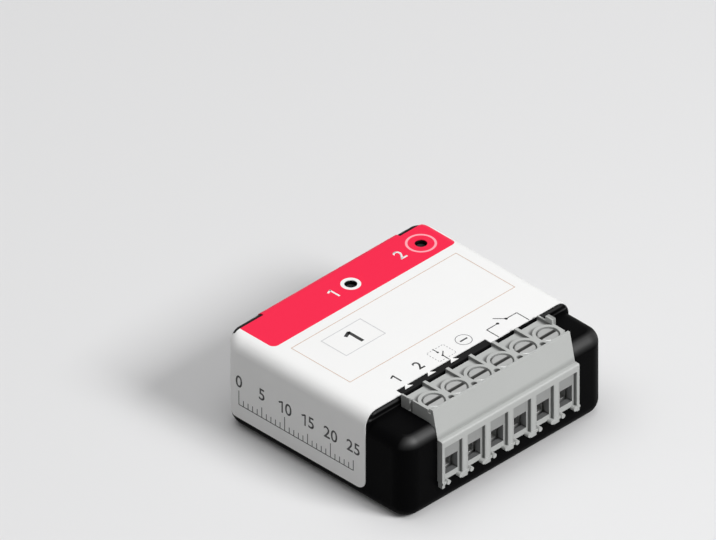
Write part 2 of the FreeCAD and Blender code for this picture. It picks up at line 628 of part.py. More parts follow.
def make_lower_case():
    """The tub: floor, walls, notch for the terminal block, posts, clips and catch recesses."""
    tub = new_body("LowerCase")
    outline = sketch_on(tub, "XY_Plane")
    draw_rectangle(outline, "-case_width / 2", "case_width / 2", "-case_depth / 2", "case_depth / 2")
    extrude(tub, "Pad", outline, "seam_height")
    fillet_body_edges(tub, "corner_radius", upright)
    fillet_body_edges(tub, "base_radius", lambda edge: edge.BoundBox.ZMax < 0.01)

    hollow = sketch_on(tub, "XY_Plane", "seam_height")
    draw_rectangle(hollow, "-case_width / 2 + wall", "case_width / 2 - wall",
                   "-case_depth / 2 + wall", "case_depth / 2 - wall")
    extrude(tub, "Pocket", hollow, "seam_height - floor_thickness")
    inner = size["case_width"] / 2 - size["wall"] + 0.01

    def inner_corner(edge):
        return upright(edge) and abs(edge.CenterOfMass.x) < inner and edge.BoundBox.XLength < 0.01
    fillet_body_edges(tub, "corner_radius - wall", inner_corner)

    notch = sketch_on(tub, "XZ_Plane", "case_depth / 2 - wall - part_gap")
    draw_rectangle(notch, "-row_width / 2 - part_gap", "row_width / 2 + part_gap",
                   "sill_height - part_gap", "seam_height + part_gap")
    extrude(tub, "Pocket", notch, "wall + 2 * part_gap", reverse=True)

    for side, depth in hook_places():
        recess = sketch_on(tub, "XY_Plane", "seam_height - hook_length - part_gap")
        reach = f"{side} * (case_width / 2 - wall + catch_reach + part_gap)"
        draw_rectangle(recess, f"{side} * (case_width / 2 - wall - part_gap)", reach,
                       f"{front(depth)} - hook_width / 2 - part_gap",
                       f"{front(depth)} + hook_width / 2 + part_gap")
        extrude(tub, "Pocket", recess, "catch_height + 2 * part_gap", reverse=True)

    posts = sketch_on(tub, "XY_Plane", "floor_thickness")
    for side in (-1, 1):
        for depth in ("post_inset", "post_far"):
            draw_circle(posts, f"{side} * post_x", front(depth), "post_radius")
    extrude(tub, "Pad", posts, "post_height")

    clips = sketch_on(tub, "XY_Plane", "board_top + part_gap")
    for side in (-1, 1):
        draw_rectangle(clips, f"{side} * (case_width / 2 - wall)",
                       f"{side} * (case_width / 2 - wall - clip_reach)",
                       f"{front('clip_depth')} - clip_width / 2",
                       f"{front('clip_depth')} + clip_width / 2")
    extrude(tub, "Pad", clips, "clip_height")
    return node(tub, "lower_case")


def make_top_cover():
    """The cover: ledge, raised deck, pinholes, lip, snap hooks and hold-down pegs."""
    skin = cut("CoverSkin", case_skin("CaseSkin"),
               block("BelowSeam", "0", "0", "-1", "case_width + 2", "case_depth + 2", "seam_height + 1"))
    hollow_ledge = room("HollowLedge", "seam_height - 1", "ledge_height - roof_thickness", ("wall",))
    hollow_deck = room("HollowDeck", "seam_height - 1", "roof_bottom", ("wall",),
                       ("ledge_depth", "wall"))
    screen = block("Screen", "0", front("ledge_depth + wall / 2"), "seam_height",
                   "row_width + 2 * wall", "wall", "ledge_height - seam_height")
    doorway = block("Doorway", "0", front("ledge_depth / 2 - 1"), "seam_height - 2 * lip_depth",
                    "row_width + 2 * part_gap", "ledge_depth + 2", "deck_height")
    ends = [block(f"DoorwaySide{index}", f"{side} * (row_width / 2 + part_gap + wall / 2)",
                  front("ledge_depth / 2"), "seam_height", "wall", "ledge_depth - 2 * wall",
                  "ledge_height - seam_height - roof_thickness / 2")
            for index, side in enumerate((-1, 1))]
    lip = cut("Lip",
              room("LipOutside", "seam_height - lip_depth", "seam_height + roof_thickness / 2",
                   ("wall", "part_gap")),
              room("LipInside", "seam_height - lip_depth - 1", "seam_height + roof_thickness",
                   ("wall", "part_gap", "lip_thickness")))
    lip_front = block("LipFront", "0", front("ledge_depth / 2"), "seam_height - 2 * lip_depth",
                      "case_width", "ledge_depth", "2 * lip_depth")
    hooks = []
    for index, (side, depth) in enumerate(hook_places()):
        face = f"{side} * (case_width / 2 - wall - part_gap - lip_thickness / 2)"
        hooks.append(block(f"Hook{index}", face, front(depth), "seam_height - hook_length",
                           "lip_thickness", "hook_width", "hook_length"))
        nose = f"{side} * (case_width / 2 - wall - part_gap - lip_thickness / 2 + catch_reach / 2)"
        hooks.append(block(f"Nose{index}", nose, front(depth), "seam_height - hook_length",
                           "lip_thickness + catch_reach", "hook_width", "catch_height"))
    pegs = [rod(f"Peg{index}", x, front("peg_depth"), "logic_top + part_gap", "peg_radius",
                "roof_bottom - logic_top - part_gap")
            for index, x in enumerate(("peg_left", "peg_right"))]
    shell = cut("CoverShell", skin, hollow_ledge, hollow_deck)
    whole = fuse("CoverWhole", shell, screen, *ends, cut("LipCut", lip, lip_front), *hooks, *pegs)
    light_hole = rod("LightHole", "light_x", front("pinholes_depth"), "seam_height",
                     "light_hole_radius", "deck_height")
    button_hole = rod("ButtonHole", "button_x", front("pinholes_depth"), "seam_height",
                      "button_hole_radius", "deck_height")
    return node(cut("TopCover", whole, doorway, light_hole, button_hole), "top_cover")


def make_wrap_label():
    """The thin film over the deck and both sides, with its notch, flap and pinholes."""
    film = cut("Film", case_skin("FilmOutside", "label_gap", "label_thickness"),
               case_skin("FilmInside", "label_gap"))
    wide = "case_width + 4"
    high = "deck_height + 2"
    band_plain = block("FilmBand", "0", front("(label_front + label_back) / 2"), "label_bottom", wide,
                       "label_back - label_front", f"{high} - label_bottom")
    low_corners = {(0.5, 0, 0): size["label_corner"], (0.5, 1, 0): size["label_corner"]}
    band = round_edges("FilmBandRound", band_plain, low_corners)
    set_back = block("FilmSetBack", "0", front("label_top_back + label_top_gap"),
                     "deck_height - deck_back_radius", "case_width - 2 * label_step",
                     "2 * label_top_gap", "deck_back_radius + 3")
    flap_plain = box("FilmFlap", "flap_left", front("label_back - 2"), "flap_bottom",
                     "flap_right - flap_left", "case_depth - label_back + 4", f"{high} - flap_bottom")
    flap_corners = {(0, 0.5, 0): size["label_corner"], (1, 0.5, 0): size["label_corner"]}
    flap = round_edges("FilmFlapRound", flap_plain, flap_corners)
    notch = box("FilmNotch", "notch_left", front("label_front - 1"), "ledge_height",
                "notch_right - notch_left", "notch_back - label_front + 1", "deck_height")
    light_hole = rod("FilmLightHole", "light_x", front("pinholes_depth"), "seam_height",
                     "light_hole_radius", "deck_height")
    button_hole = rod("FilmButtonHole", "button_x", front("pinholes_depth"), "seam_height",
                      "button_hole_radius", "deck_height")
    outline = fuse("FilmOutline", cut("FilmBandTop", band, set_back), flap)
    covered = common("FilmCovered", film, outline)
    return node(cut("WrapLabel", covered, notch, light_hole, button_hole), "wrap_label")


def make_stepped_pin(name, label, x, steps):
    """A turned piece on a vertical axis over the logic board, from (radius, low, high) steps."""
    pin = new_body(name)
    outline = sketch_on(pin, "XZ_Plane")
    corners = [("0", steps[0][1])]
    for radius, low, high in steps:
        corners += [(radius, low), (radius, high)]
    corners.append(("0", steps[-1][2]))
    draw_outline(outline, corners)
    spin(pin, outline)
    place(pin, x, front("pinholes_depth"))
    return node(pin, label)


def make_push_button():
    """The rod between the pinhole and the tact switch, with the collar that keeps it in."""
    under_roof = "roof_bottom - part_gap"
    rod_radius = "button_hole_radius - button_clearance"
    foot = "logic_top + plunger_top + button_play"
    return make_stepped_pin("PushButton", "push_button", "button_x",
                            ((rod_radius, foot, f"{under_roof} - collar_height"),
                             ("collar_radius", f"{under_roof} - collar_height", under_roof),
                             (rod_radius, under_roof, "deck_height - pinhole_recess")))


def make_light_pipe():
    """The smoked rod between the status light and its pinhole, with its collar under the roof."""
    pipe_radius = "light_hole_radius - button_clearance"
    low = "logic_top + light_height + light_pipe_gap"
    return make_stepped_pin("LightPipe", "light_pipe", "light_x",
                            ((pipe_radius, low, "roof_bottom - collar_height"),
                             ("collar_radius", "roof_bottom - collar_height", "roof_bottom"),
                             (pipe_radius, "roof_bottom", "deck_height - pinhole_recess")))


# Terminal block


def make_terminal_housing():
    """The moulded block: section, wire windows, cage rooms, screw wells, ribs and feet."""
    block_body = new_body("TerminalHousing")
    section = sketch_on(block_body, "YZ_Plane")
    draw_outline(section, (
        (front("-terminal_proud"), "sill_height"),
        (front("wall + part_gap"), "sill_height"),
        (front("wall + part_gap"), "board_top"),
        (front("terminal_back"), "board_top"),
        (front("terminal_back"), "terminal_top"),
        (front("crest_back"), "terminal_top"),
        (front("crest_back"), "crest_height"),
        (front("crest_front"), "crest_height"),
        (front("0"), "shelf_height"),
        (front("-terminal_proud"), "shelf_height")))
    extrude(block_body, "Pad", section, "row_width", both_ways=True)
    shelf = size["shelf_height"]
    proud_face = -size["case_depth"] / 2 - size["terminal_proud"]

    def shelf_edge(edge):
        spot = edge.CenterOfMass
        return abs(spot.z - shelf) < 0.01 and abs(spot.y - proud_face) < 0.01
    fillet_body_edges(block_body, "shelf_round", shelf_edge)

    def over_first_pole(sketch, half_width, low, high):
        draw_rectangle(sketch, f"first_pole - {half_width}", f"first_pole + {half_width}", low, high)

    window = sketch_on(block_body, "XZ_Plane", "case_depth / 2 + terminal_proud + 1")
    over_first_pole(window, "cell_width / 2", "sill_height - 1", "window_top")
    window_cut = extrude(block_body, "Pocket", window, "window_recess + 1")

    entry = sketch_on(block_body, "XZ_Plane", "case_depth / 2 + terminal_proud + 1")
    over_first_pole(entry, "entry_width / 2", "entry_bottom", "entry_top")
    entry_cut = extrude(block_body, "Pocket", entry, "terminal_proud + cell_front + 1.5")

    cell = sketch_on(block_body, "XY_Plane", "cell_top")
    over_first_pole(cell, "cell_width / 2", front("cell_front"), front("cell_back"))
    cell_cut = extrude(block_body, "Pocket", cell, "cell_top")

    well = sketch_on(block_body, "XY_Plane", "crest_height + 1")
    draw_circle(well, "first_pole", front("screw_front"), "well_radius")
    well_cut = extrude(block_body, "Pocket", well, "crest_height + 1 - well_bottom")

    shank = sketch_on(block_body, "XY_Plane", "crest_height + 1")
    draw_circle(shank, "first_pole", front("screw_front"), "shank_radius + shank_clearance")
    shank_cut = extrude(block_body, "Pocket", shank, "crest_height + 2 - cell_top")
    repeat_along_row(block_body, [window_cut, entry_cut, cell_cut, well_cut, shank_cut])

    ribs = sketch_on(block_body, "XZ_Plane", "case_depth / 2 + part_gap")
    necks = []
    knobs = []
    for index in range(int(size["poles"]) + 1):
        middle = f"-row_width / 2 + {index} * pole_pitch"
        first, last = index == 0, index == size["poles"]
        draw_rectangle(ribs, middle if first else f"{middle} - rib_width / 2",
                       middle if last else f"{middle} + rib_width / 2",
                       "rib_bottom", "sill_height + part_gap")
        necks.append((middle if first else f"{middle} - foot_reach",
                      middle if last else f"{middle} + foot_reach"))
        knobs += [f"{middle} - foot_reach"] * (not first) + [f"{middle} + foot_reach"] * (not last)
    extrude(block_body, "Pad", ribs, "terminal_proud - part_gap")
    feet_plane = "case_depth / 2 + terminal_proud - window_recess"
    bars = sketch_on(block_body, "XZ_Plane", feet_plane)
    for left, right in necks:
        draw_rectangle(bars, left, right, "foot_level - foot_neck / 2", "foot_level + foot_neck / 2")
    extrude(block_body, "Pad", bars, "window_recess + foot_proud / 2")
    ends = sketch_on(block_body, "XZ_Plane", feet_plane)
    for x in knobs:
        draw_circle(ends, x, "foot_level", "foot_knob")
    extrude(block_body, "Pad", ends, "window_recess + foot_proud")

    key = sketch_on(block_body, "YZ_Plane", "row_width / 2")
    draw_rectangle(key, front("key_front"), front("key_back"), "ledge_height + part_gap", "key_height")
    extrude(block_body, "Pad", key, "key_reach")
    key_root = sketch_on(block_body, "YZ_Plane", "row_width / 2")
    draw_rectangle(key_root, front("key_front"), front("key_back"), "terminal_top", "key_height")
    extrude(block_body, "Pad", key_root, "fin_thickness / 2", reverse=True)
    groove = sketch_on(block_body, "YZ_Plane", "-row_width / 2")
    draw_rectangle(groove, front("groove_front"), front("groove_front + groove_width"),
                   "ledge_height", "terminal_top + 1")
    extrude(block_body, "Pocket", groove, "groove_depth", reverse=True)
    return block_body


def make_terminal_top(block_body):
    """Hollows, fins and dimples in the top of the moulded block, and the finished node."""
    tools = []
    for index in range(int(size["poles"])):
        middle = f"first_pole + {index} * pole_pitch"
        hollow = block(f"TopHollow{index}", middle, front("(pocket_front + terminal_back + 1) / 2"),
                       "terminal_top - pocket_depth", "pole_pitch - fin_thickness",
                       "terminal_back - pocket_front + 1", "pocket_depth + 1")
        ring = rod(f"TopRing{index}", middle, front("screw_front"), "well_bottom", "ring_radius",
                   "terminal_top")
        tools.append(cut(f"TopPocket{index}", hollow, ring))
        tools.append(block(f"TopRelief{index}", middle, front("terminal_back + (1 - fin_overhang) / 2"),
                           "terminal_top - relief_depth", "pole_pitch - fin_thickness",
                           "fin_overhang + 1", "relief_depth + 1"))
        if index:
            tools.append(rod(f"Dimple{index}", f"{middle} - pole_pitch / 2", front("dimple_front"),
                             "terminal_top - dimple_depth", "dimple_radius", "dimple_depth + 1"))
    for index, side in enumerate((-1, 1)):
        tools.append(block(f"Nick{index}", f"{side} * row_width / 2", front("crest_back + nick_width / 2"),
                           "terminal_top - nick_depth", "2 * nick_reach", "nick_width", "nick_depth + 1"))
    return node(cut("TerminalTop", block_body, *tools), "terminal_housing")


def make_terminal_screw(index):
    """A slotted clamp screw, held in its well, with its thread in the cage."""
    screw = new_body(f"TerminalScrew{index}")
    profile = sketch_on(screw, "XZ_Plane")
    draw_outline(profile, (
        ("0", "screw_tip"), ("shank_radius - head_chamfer", "screw_tip"),
        ("shank_radius", "screw_tip + head_chamfer"), ("shank_radius", "head_bottom"),
        ("head_radius", "head_bottom"), ("head_radius", "head_top - head_chamfer"),
        ("head_radius - head_chamfer", "head_top"), ("0", "head_top")))
    spin(screw, profile)
    slot = sketch_on(screw, "XY_Plane", "head_top + 1")
    draw_rectangle(slot, "-head_radius - 1", "head_radius + 1", "-slot_width / 2", "slot_width / 2")
    extrude(screw, "Pocket", slot, "slot_depth + 1")
    place(screw, f"first_pole + {index - 1} * pole_pitch", front("screw_front"))
    return node(screw, f"terminal_screw_{index}")


def make_clamp_cage(index):
    """A clamping cage: a bent box with a wire window and a threaded roof, shown fully open."""
    cage = new_body(f"ClampCage{index}")
    outline = sketch_on(cage, "XY_Plane", "cage_bottom")
    draw_rectangle(outline, "-cage_half", "cage_half", "-cage_length / 2", "cage_length / 2")
    extrude(cage, "Pad", outline, "cage_top - cage_bottom")
    fillet_body_edges(cage, "cage_side / 2", lambda edge: edge.BoundBox.YLength > size["cage_side"])
    window = sketch_on(cage, "XZ_Plane", "cage_length / 2 + 1")
    draw_rectangle(window, "-cage_half + cage_side", "cage_half - cage_side", "entry_bottom",
                   "cage_window_top")
    extrude(cage, "Pocket", window, "cage_length + 2")
    thread = sketch_on(cage, "XY_Plane", "cage_top + 1")
    draw_circle(thread, "0", "0", "shank_radius + thread_clearance")
    extrude(cage, "Pocket", thread, "cage_roof + 1 + bar_clearance")
    place(cage, f"first_pole + {index - 1} * pole_pitch", front("screw_front"))
    return node(cage, f"clamp_cage_{index}")


def make_contact_bars():
    """One contact bar per pole, through the cage and down to its solder tail."""
    bars = []
    for index in range(int(size["poles"])):
        middle = f"first_pole + {index} * pole_pitch"
        bar = block(f"Bar{index}", middle, front("(bar_front + tail_front + tail_thickness) / 2"),
                    "bar_bottom", "bar_width", "tail_front + tail_thickness - bar_front", "bar_thickness")
        tail = block(f"Tail{index}", middle, front("tail_front + tail_thickness / 2"), "pin_depth",
                     "tail_width", "tail_thickness", "bar_top - pin_depth")
        bars.append(fuse(f"ContactBar{index}", bar, tail))
    return node(group("ContactBars", bars), "contact_bars")


# Boards


def lead_places():
    """Place of every round lead in the main board."""
    for sign in (-1, 1):
        yield f"film_x + {sign} * film_lead_spread", front("film_depth")
        yield "varistor_x", front(f"varistor_depth + {sign} * varistor_lead_spread")
        yield f"fuse_x + {sign} * fuse_lead_spread", front("fuse_depth")
        yield f"choke_x + {sign} * choke_lead_spread", front("choke_depth")
        for end in ("can_first", "can_second"):
            yield (f"{end} + can_length + bung_length + can_lead_reach",
                   front(f"can_depth + {sign} * can_lead_spread"))


def relay_pin_places():
    """Place of the relay's pins: coil, common and fixed contact."""
    middle = front("relay_middle")
    yield "relay_left + strip_at + strip_thickness / 2", middle
    yield "yoke_end - yoke_post / 2", middle
    for sign in (-1, 1):
        yield "coil_pin_x", f"{middle} + {sign} * coil_pin_spread"


def header_places():
    for index in range(int(size["header_pins"])):
        yield f"header_x + ({index} - (header_pins - 1) / 2) * header_pitch", front("header_depth")


def make_main_board():
    plain = block("MainBoardPlain", "0", "0", "board_bottom", "case_width - 2 * wall - 2 * board_gap",
                  "case_depth - 2 * wall - 2 * board_gap", "board_thickness")
    board = round_edges("MainBoardRound", plain, {spot: size["board_corner"] for spot in UPRIGHTS})
    holes = [rod(f"LeadHole{index}", x, y, "board_bottom - 1", "lead_radius + lead_clearance",
                 "board_thickness + 2")
             for index, (x, y) in enumerate(list(lead_places()) + list(relay_pin_places()))]
    for index in range(int(size["poles"])):
        holes.append(block(f"TailHole{index}", f"first_pole + {index} * pole_pitch",
                           front("tail_front + tail_thickness / 2"), "board_bottom - 1",
                           "tail_width + 2 * lead_clearance", "tail_thickness + 2 * lead_clearance",
                           "board_thickness + 2"))
    for index, (x, y) in enumerate(header_places()):
        holes.append(rod(f"HeaderHole{index}", x, y, "board_bottom - 1",
                         "header_pin_side * 0.71 + lead_clearance", "board_thickness + 2"))
    return node(cut("MainBoard", board, *holes), "main_board")


def make_logic_board():
    plain = block("LogicBoardPlain", "0", front("logic_front + logic_depth / 2"), "logic_bottom",
                  "2 * logic_half", "logic_depth", "logic_thickness")
    holes = [rod(f"LogicHole{index}", x, y, "logic_bottom - 1", "header_pin_side * 0.71 + lead_clearance",
                 "logic_thickness + 2")
             for index, (x, y) in enumerate(header_places())]
    return node(cut("LogicBoard", plain, *holes), "logic_board")


def make_header():
    strip = block("HeaderStripPlain", "header_x", front("header_depth"), "board_top",
                  "header_pins * header_pitch", "header_strip_width", "header_strip_height")
    pins = []
    holes = []
    for index, (x, y) in enumerate(header_places()):
        pins.append(block(f"HeaderPin{index}", x, y, "pin_depth", "header_pin_side", "header_pin_side",
                          "header_pin_top - pin_depth"))
        holes.append(block(f"StripHole{index}", x, y, "board_top - 1", "header_pin_side",
                           "header_pin_side", "header_strip_height + 2"))
    node(cut("HeaderStrip", strip, *holes), "header_strip")
    node(group("HeaderPins", pins), "header_pins")


def make_board_spacers():
    places = (("spacer_left", "logic_back - spacer_back"), ("spacer_right", "can_depth"))
    pillars = [rod(f"Spacer{index}", x, front(depth), "board_top", "spacer_radius",
                   "logic_bottom - board_top")
               for index, (x, depth) in enumerate(places)]
    return node(group("BoardSpacers", pillars), "board_spacers")


# Relay


def make_relay_case():
    outside_plain = box("RelayOutside", "relay_left", front("row_front"), "board_top", "relay_length",
                        "relay_width", "relay_height")
    edges = {spot: size["relay_round"] for spot in UPRIGHTS + TOP_EDGES}
    outside = round_edges("RelayOutsideRound", outside_plain, edges)
    inside = box("RelayInside", "relay_left + relay_wall", front("row_front + relay_wall"),
                 "board_top - 1", "relay_length - 2 * relay_wall", "relay_width - 2 * relay_wall",
                 "relay_height - relay_wall + 1")
    node(cut("RelayCase", outside, inside), "relay_case")

    side_gap = "relay_wall + part_gap / 2"
    plate = box("RelayPlate", f"relay_left + {side_gap}", front(f"row_front + {side_gap}"), "board_top",
                f"relay_length - 2 * ({side_gap})", f"relay_width - 2 * ({side_gap})", "relay_base_height")
    holes = [rod(f"RelayHole{index}", x, y, "board_top - 1", "lead_radius + lead_clearance",
                 "relay_base_height + 2")
             for index, (x, y) in enumerate(relay_pin_places())]
    node(cut("RelayBase", plate, *holes), "relay_base")


def make_relay_magnet():
    """Yoke, core, bobbin and winding, standing on the relay's base."""
    plate = box("YokePlate", "yoke_end - yoke_length", f"{front('relay_middle')} - yoke_width / 2",
                "relay_floor", "yoke_length", "yoke_width", "yoke_thickness")
    post = box("YokePost", "yoke_end - yoke_post", f"{front('relay_middle')} - yoke_width / 2", "relay_floor",
               "yoke_post", "yoke_width", "pole_level - relay_floor")
    pin = rod("YokePin", "yoke_end - yoke_post / 2", front("relay_middle"), "pin_depth", "lead_radius",
              "relay_floor - pin_depth")
    node(fuse("RelayYoke", plate, post, pin), "relay_yoke")

    stem = rod("CoreStem", "core_x", front("relay_middle"), "bobbin_bottom", "core_radius",
               "pole_level - bobbin_bottom")
    pole = rod("CorePole", "core_x", front("relay_middle"), "bobbin_top", "pole_radius", "pole_thickness")
    node(fuse("RelayCore", stem, pole), "relay_core")

    flanges = [block(f"BobbinFlange{index}", "core_x", front("relay_middle"), low,
                     "bobbin_side", "bobbin_side", "flange_thickness")
               for index, low in enumerate(("bobbin_bottom", "bobbin_top - flange_thickness"))]
    tube = rod("BobbinTube", "core_x", front("relay_middle"), "bobbin_bottom", "tube_radius",
               "bobbin_top - bobbin_bottom")
    bore = rod("BobbinBore", "core_x", front("relay_middle"), "bobbin_bottom - 1",
               "core_radius + core_clearance", "relay_height")
    node(cut("RelayBobbin", fuse("BobbinWhole", tube, *flanges), bore), "relay_bobbin")

    wire_height = "bobbin_top - bobbin_bottom - 2 * flange_thickness"
    wound = rod("CoilOutside", "core_x", front("relay_middle"), "bobbin_bottom + flange_thickness",
                "coil_radius", wire_height)
    gap = rod("CoilInside", "core_x", front("relay_middle"), "bobbin_bottom", "tube_radius", "relay_height")
    node(cut("RelayCoil", wound, gap), "relay_coil")

    pins = [block(f"CoilPin{index}", "coil_pin_x", f"{front('relay_middle')} + {sign} * coil_pin_spread",
                  "pin_depth", "coil_pin_side", "coil_pin_side", "bobbin_bottom - pin_depth")
            for index, sign in enumerate((-1, 1))]
    node(group("RelayCoilPins", pins), "relay_coil_pins")


def make_relay_contacts():
    """Fixed contact on its strip; armature and moving contact spring, tilted open on the pivot."""
    closed_face = "pivot_level + armature_gap + armature_thickness - contact_height - contact_pause"
    strip_left = "relay_left + strip_at"
    upright_strip = box("StripUpright", strip_left, f"{front('relay_middle')} - strip_width / 2",
                        "relay_floor", "strip_thickness", "strip_width",
                        f"{closed_face} - contact_height - relay_floor")
    tab = box("StripTab", strip_left, f"{front('relay_middle')} - strip_width / 2",
              f"{closed_face} - contact_height - strip_thickness",
              "contact_at - strip_at + contact_radius", "strip_width", "strip_thickness")
    button = rod("FixedButton", "contact_x", front("relay_middle"), f"{closed_face} - contact_height",
                 "contact_radius", "contact_height")
    pin = rod("StripPin", f"{strip_left} + strip_thickness / 2", front("relay_middle"), "pin_depth",
              "lead_radius", "relay_floor - pin_depth")
    node(fuse("RelayFixedContact", upright_strip, tab, button, pin), "relay_fixed_contact")

    def on_pivot(body, label):
        body.Placement = Placement(Vector(), Rotation(Vector(0, 1, 0), size["armature_open"]))
        place(body, "yoke_end", front("relay_middle"), "pivot_level")
        return node(body, label)

    armature = new_body("RelayArmature")
    plate = sketch_on(armature, "XY_Plane", "armature_gap")
    draw_rectangle(plate, "-armature_length", "armature_heel", "-yoke_width / 2", "yoke_width / 2")
    extrude(armature, "Pad", plate, "armature_thickness")
    on_pivot(armature, "relay_armature")

    spring = new_body("RelayContactSpring")
    leaf_bottom = "armature_gap + armature_thickness"
    leaf = sketch_on(spring, "XY_Plane", leaf_bottom)
    draw_rectangle(leaf, "contact_x - yoke_end - contact_radius - leaf_overhang", "0",
                   "-leaf_width / 2", "leaf_width / 2")
    extrude(spring, "Pad", leaf, "leaf_thickness")
    contact = sketch_on(spring, "XY_Plane", leaf_bottom)
    draw_circle(contact, "contact_x - yoke_end", "0", "contact_radius")
    extrude(spring, "Pad", contact, "contact_height", reverse=True)
    on_pivot(spring, "relay_contact_spring")


# Mains supply


def make_supply_parts():
    film_plain = block("FilmPlain", "film_x", front("film_depth"), "board_top", "film_length", "film_width",
                       "film_height")
    film_edges = {spot: size["film_round"] for spot in UPRIGHTS + TOP_EDGES}
    node(round_edges("FilmCapacitor", film_plain, film_edges), "film_capacitor")

    disc = rod("VaristorDisc", "varistor_x - varistor_thickness / 2", front("varistor_depth"),
               "board_top + varistor_lift + varistor_radius", "varistor_radius", "varistor_thickness", "X")
    varistor = node(round_rims("Varistor", disc, "varistor_round"), "varistor")

    resistor = rod("FusePlain", "fuse_x - fuse_length / 2", front("fuse_depth"),
                   "board_top + fuse_lift + fuse_radius", "fuse_radius", "fuse_length", "X")
    node(round_rims("FusibleResistor", resistor, "fuse_round"), "fusible_resistor")

    waist = rod("ChokeWaist", "choke_x", front("choke_depth"), "board_top", "choke_waist", "choke_height")
    flanges = [rod(f"ChokeFlange{index}", "choke_x", front("choke_depth"), low, "choke_radius",
                   "choke_flange")
               for index, low in enumerate(("board_top", "board_top + choke_height - choke_flange"))]
    node(fuse("InductorCore", waist, *flanges), "inductor_core")
    wound = rod("ChokeWound", "choke_x", front("choke_depth"), "board_top + choke_flange",
                "choke_winding", "choke_height - 2 * choke_flange")
    bore = rod("ChokeBore", "choke_x", front("choke_depth"), "board_top", "choke_waist", "choke_height")
    node(cut("InductorWinding", wound, bore), "inductor_winding")
    return varistor


def round_rims(name, cylinder, radius):
    """Round both rims of a cylinder."""
    doc.recompute()
    rims = [number for number, edge in enumerate(cylinder.Shape.Edges, 1)
            if isinstance(edge.Curve, Part.Circle)]
    rounded = doc.addObject("Part::Fillet", name)
    rounded.Base = cylinder
    rounded.Edges = [(number, size[radius], size[radius]) for number in rims]
    return rounded


def make_cans():
    """Two electrolytic capacitors lying under the logic board, and their rubber bungs."""
    cans = []
    bungs = []
    for index, end in enumerate(("can_first", "can_second")):
        can = rod(f"CanPlain{index}", end, front("can_depth"), "can_axis", "can_radius", "can_length", "X")
        cans.append(round_rims(f"Can{index}", can, "can_round"))
        bungs.append(rod(f"Bung{index}", f"{end} + can_length", front("can_depth"), "can_axis", "bung_radius",
                         "bung_length", "X"))
    node(group("BulkCapacitors", cans), "bulk_capacitors")
    node(group("CapacitorBungs", bungs), "capacitor_bungs")


def bent_lead(name, x, y, from_x, height):
    """A lead that runs level from a body and turns down into the board."""
    level = box(f"{name}_level", from_x, f"({y}) - lead_radius", f"{height} - lead_radius",
                f"({x}) + lead_radius - ({from_x})", "2 * lead_radius", "2 * lead_radius")
    down = rod(f"{name}_down", x, y, "pin_depth", "lead_radius", f"{height} - pin_depth")
    return fuse(name, level, down)


def make_component_leads(varistor):
    """Solder leads of the wired components."""
    leads = []

    def straight(name, x, y, top):
        leads.append(rod(name, x, y, "pin_depth", "lead_radius", f"{top} - pin_depth"))

    for index, sign in enumerate((-1, 1)):
        straight(f"FilmLead{index}", f"film_x + {sign} * film_lead_spread", front("film_depth"), "board_top")
        straight(f"ChokeLead{index}", f"choke_x + {sign} * choke_lead_spread", front("choke_depth"),
                 "board_top")
        long_lead = rod(f"VaristorLong{index}", "varistor_x",
                        front(f"varistor_depth + {sign} * varistor_lead_spread"), "pin_depth",
                        "lead_radius", "board_top + varistor_lift + varistor_radius - pin_depth")
        leads.append(cut(f"VaristorLead{index}", long_lead, varistor))
        for end in ("can_first", "can_second"):
            face = f"{end} + can_length + bung_length"
            leads.append(bent_lead(f"CanLead{index}{end}", f"{face} + can_lead_reach",
                                   front(f"can_depth + {sign} * can_lead_spread"), face, "can_axis"))
    right_end = "fuse_x + fuse_length / 2"
    leads.append(bent_lead("FuseLeadRight", "fuse_x + fuse_lead_spread", front("fuse_depth"), right_end,
                           "fuse_axis"))
    left_x = "fuse_x - fuse_lead_spread"
    level = box("FuseLeadLeftLevel", f"{left_x} - lead_radius", f"{front('fuse_depth')} - lead_radius",
                "fuse_axis - lead_radius", "fuse_lead_spread - fuse_length / 2 + lead_radius",
                "2 * lead_radius", "2 * lead_radius")
    down = rod("FuseLeadLeftDown", left_x, front("fuse_depth"), "pin_depth", "lead_radius",
               "fuse_axis - pin_depth")
    leads.append(fuse("FuseLeadLeft", level, down))
    return node(group("ComponentLeads", leads), "component_leads")


def make_chips():
    """Flat chips of the main board, with their legs, and the small chip parts."""
    legs = []
    chips = (("bridge", "bridge_rectifier", "chip_depth", 2),
             ("regulator", "switching_regulator", "regulator_depth", 4),
             ("driver", "relay_driver", "chip_depth", 2))
    for chip, label, depth, legs_a_side in chips:
        node(block(f"Chip{chip}", f"{chip}_x", front(depth), "board_top + chip_lift", f"{chip}_length",
                   f"{chip}_width", f"{chip}_height"), label)
        for index in range(legs_a_side):
            step = f"({index} - ({legs_a_side} - 1) / 2) * {chip}_width / {legs_a_side}"
            for sign in (-1, 1):
                middle = f"{chip}_x + {sign} * ({chip}_length + leg_reach) / 2"
                legs.append(block(f"Leg{chip}{index}{'ab'[sign > 0]}", middle, front(f"{depth} + {step}"),
                                  "board_top", "leg_reach", "leg_width", "leg_thickness + chip_lift"))
    node(group("ChipLegs", legs), "chip_legs")

    places = [(f"column_x + {column} * (chip_length + right_gap)", f"chip_depth + {row} * chip_width")
              for column in (0, 1) for row in (-1.25, 1.25)]
    parts = [block(f"ChipPart{index}", x, front(depth), "board_top", "chip_length", "chip_width",
                   "chip_height")
             for index, (x, depth) in enumerate(places)]
    logic_places = (("peg_left + 3.4", "peg_depth - 0.6"), ("peg_left + 6.0", "peg_depth - 0.6"),
                    ("light_x + 3.4", "peg_depth + 2.4"))
    parts += [block(f"LogicPart{index}", x, front(depth), "logic_top", "chip_length", "chip_width",
                    "chip_height")
              for index, (x, depth) in enumerate(logic_places)]
    node(group("ChipParts", parts), "chip_parts")


# Logic side


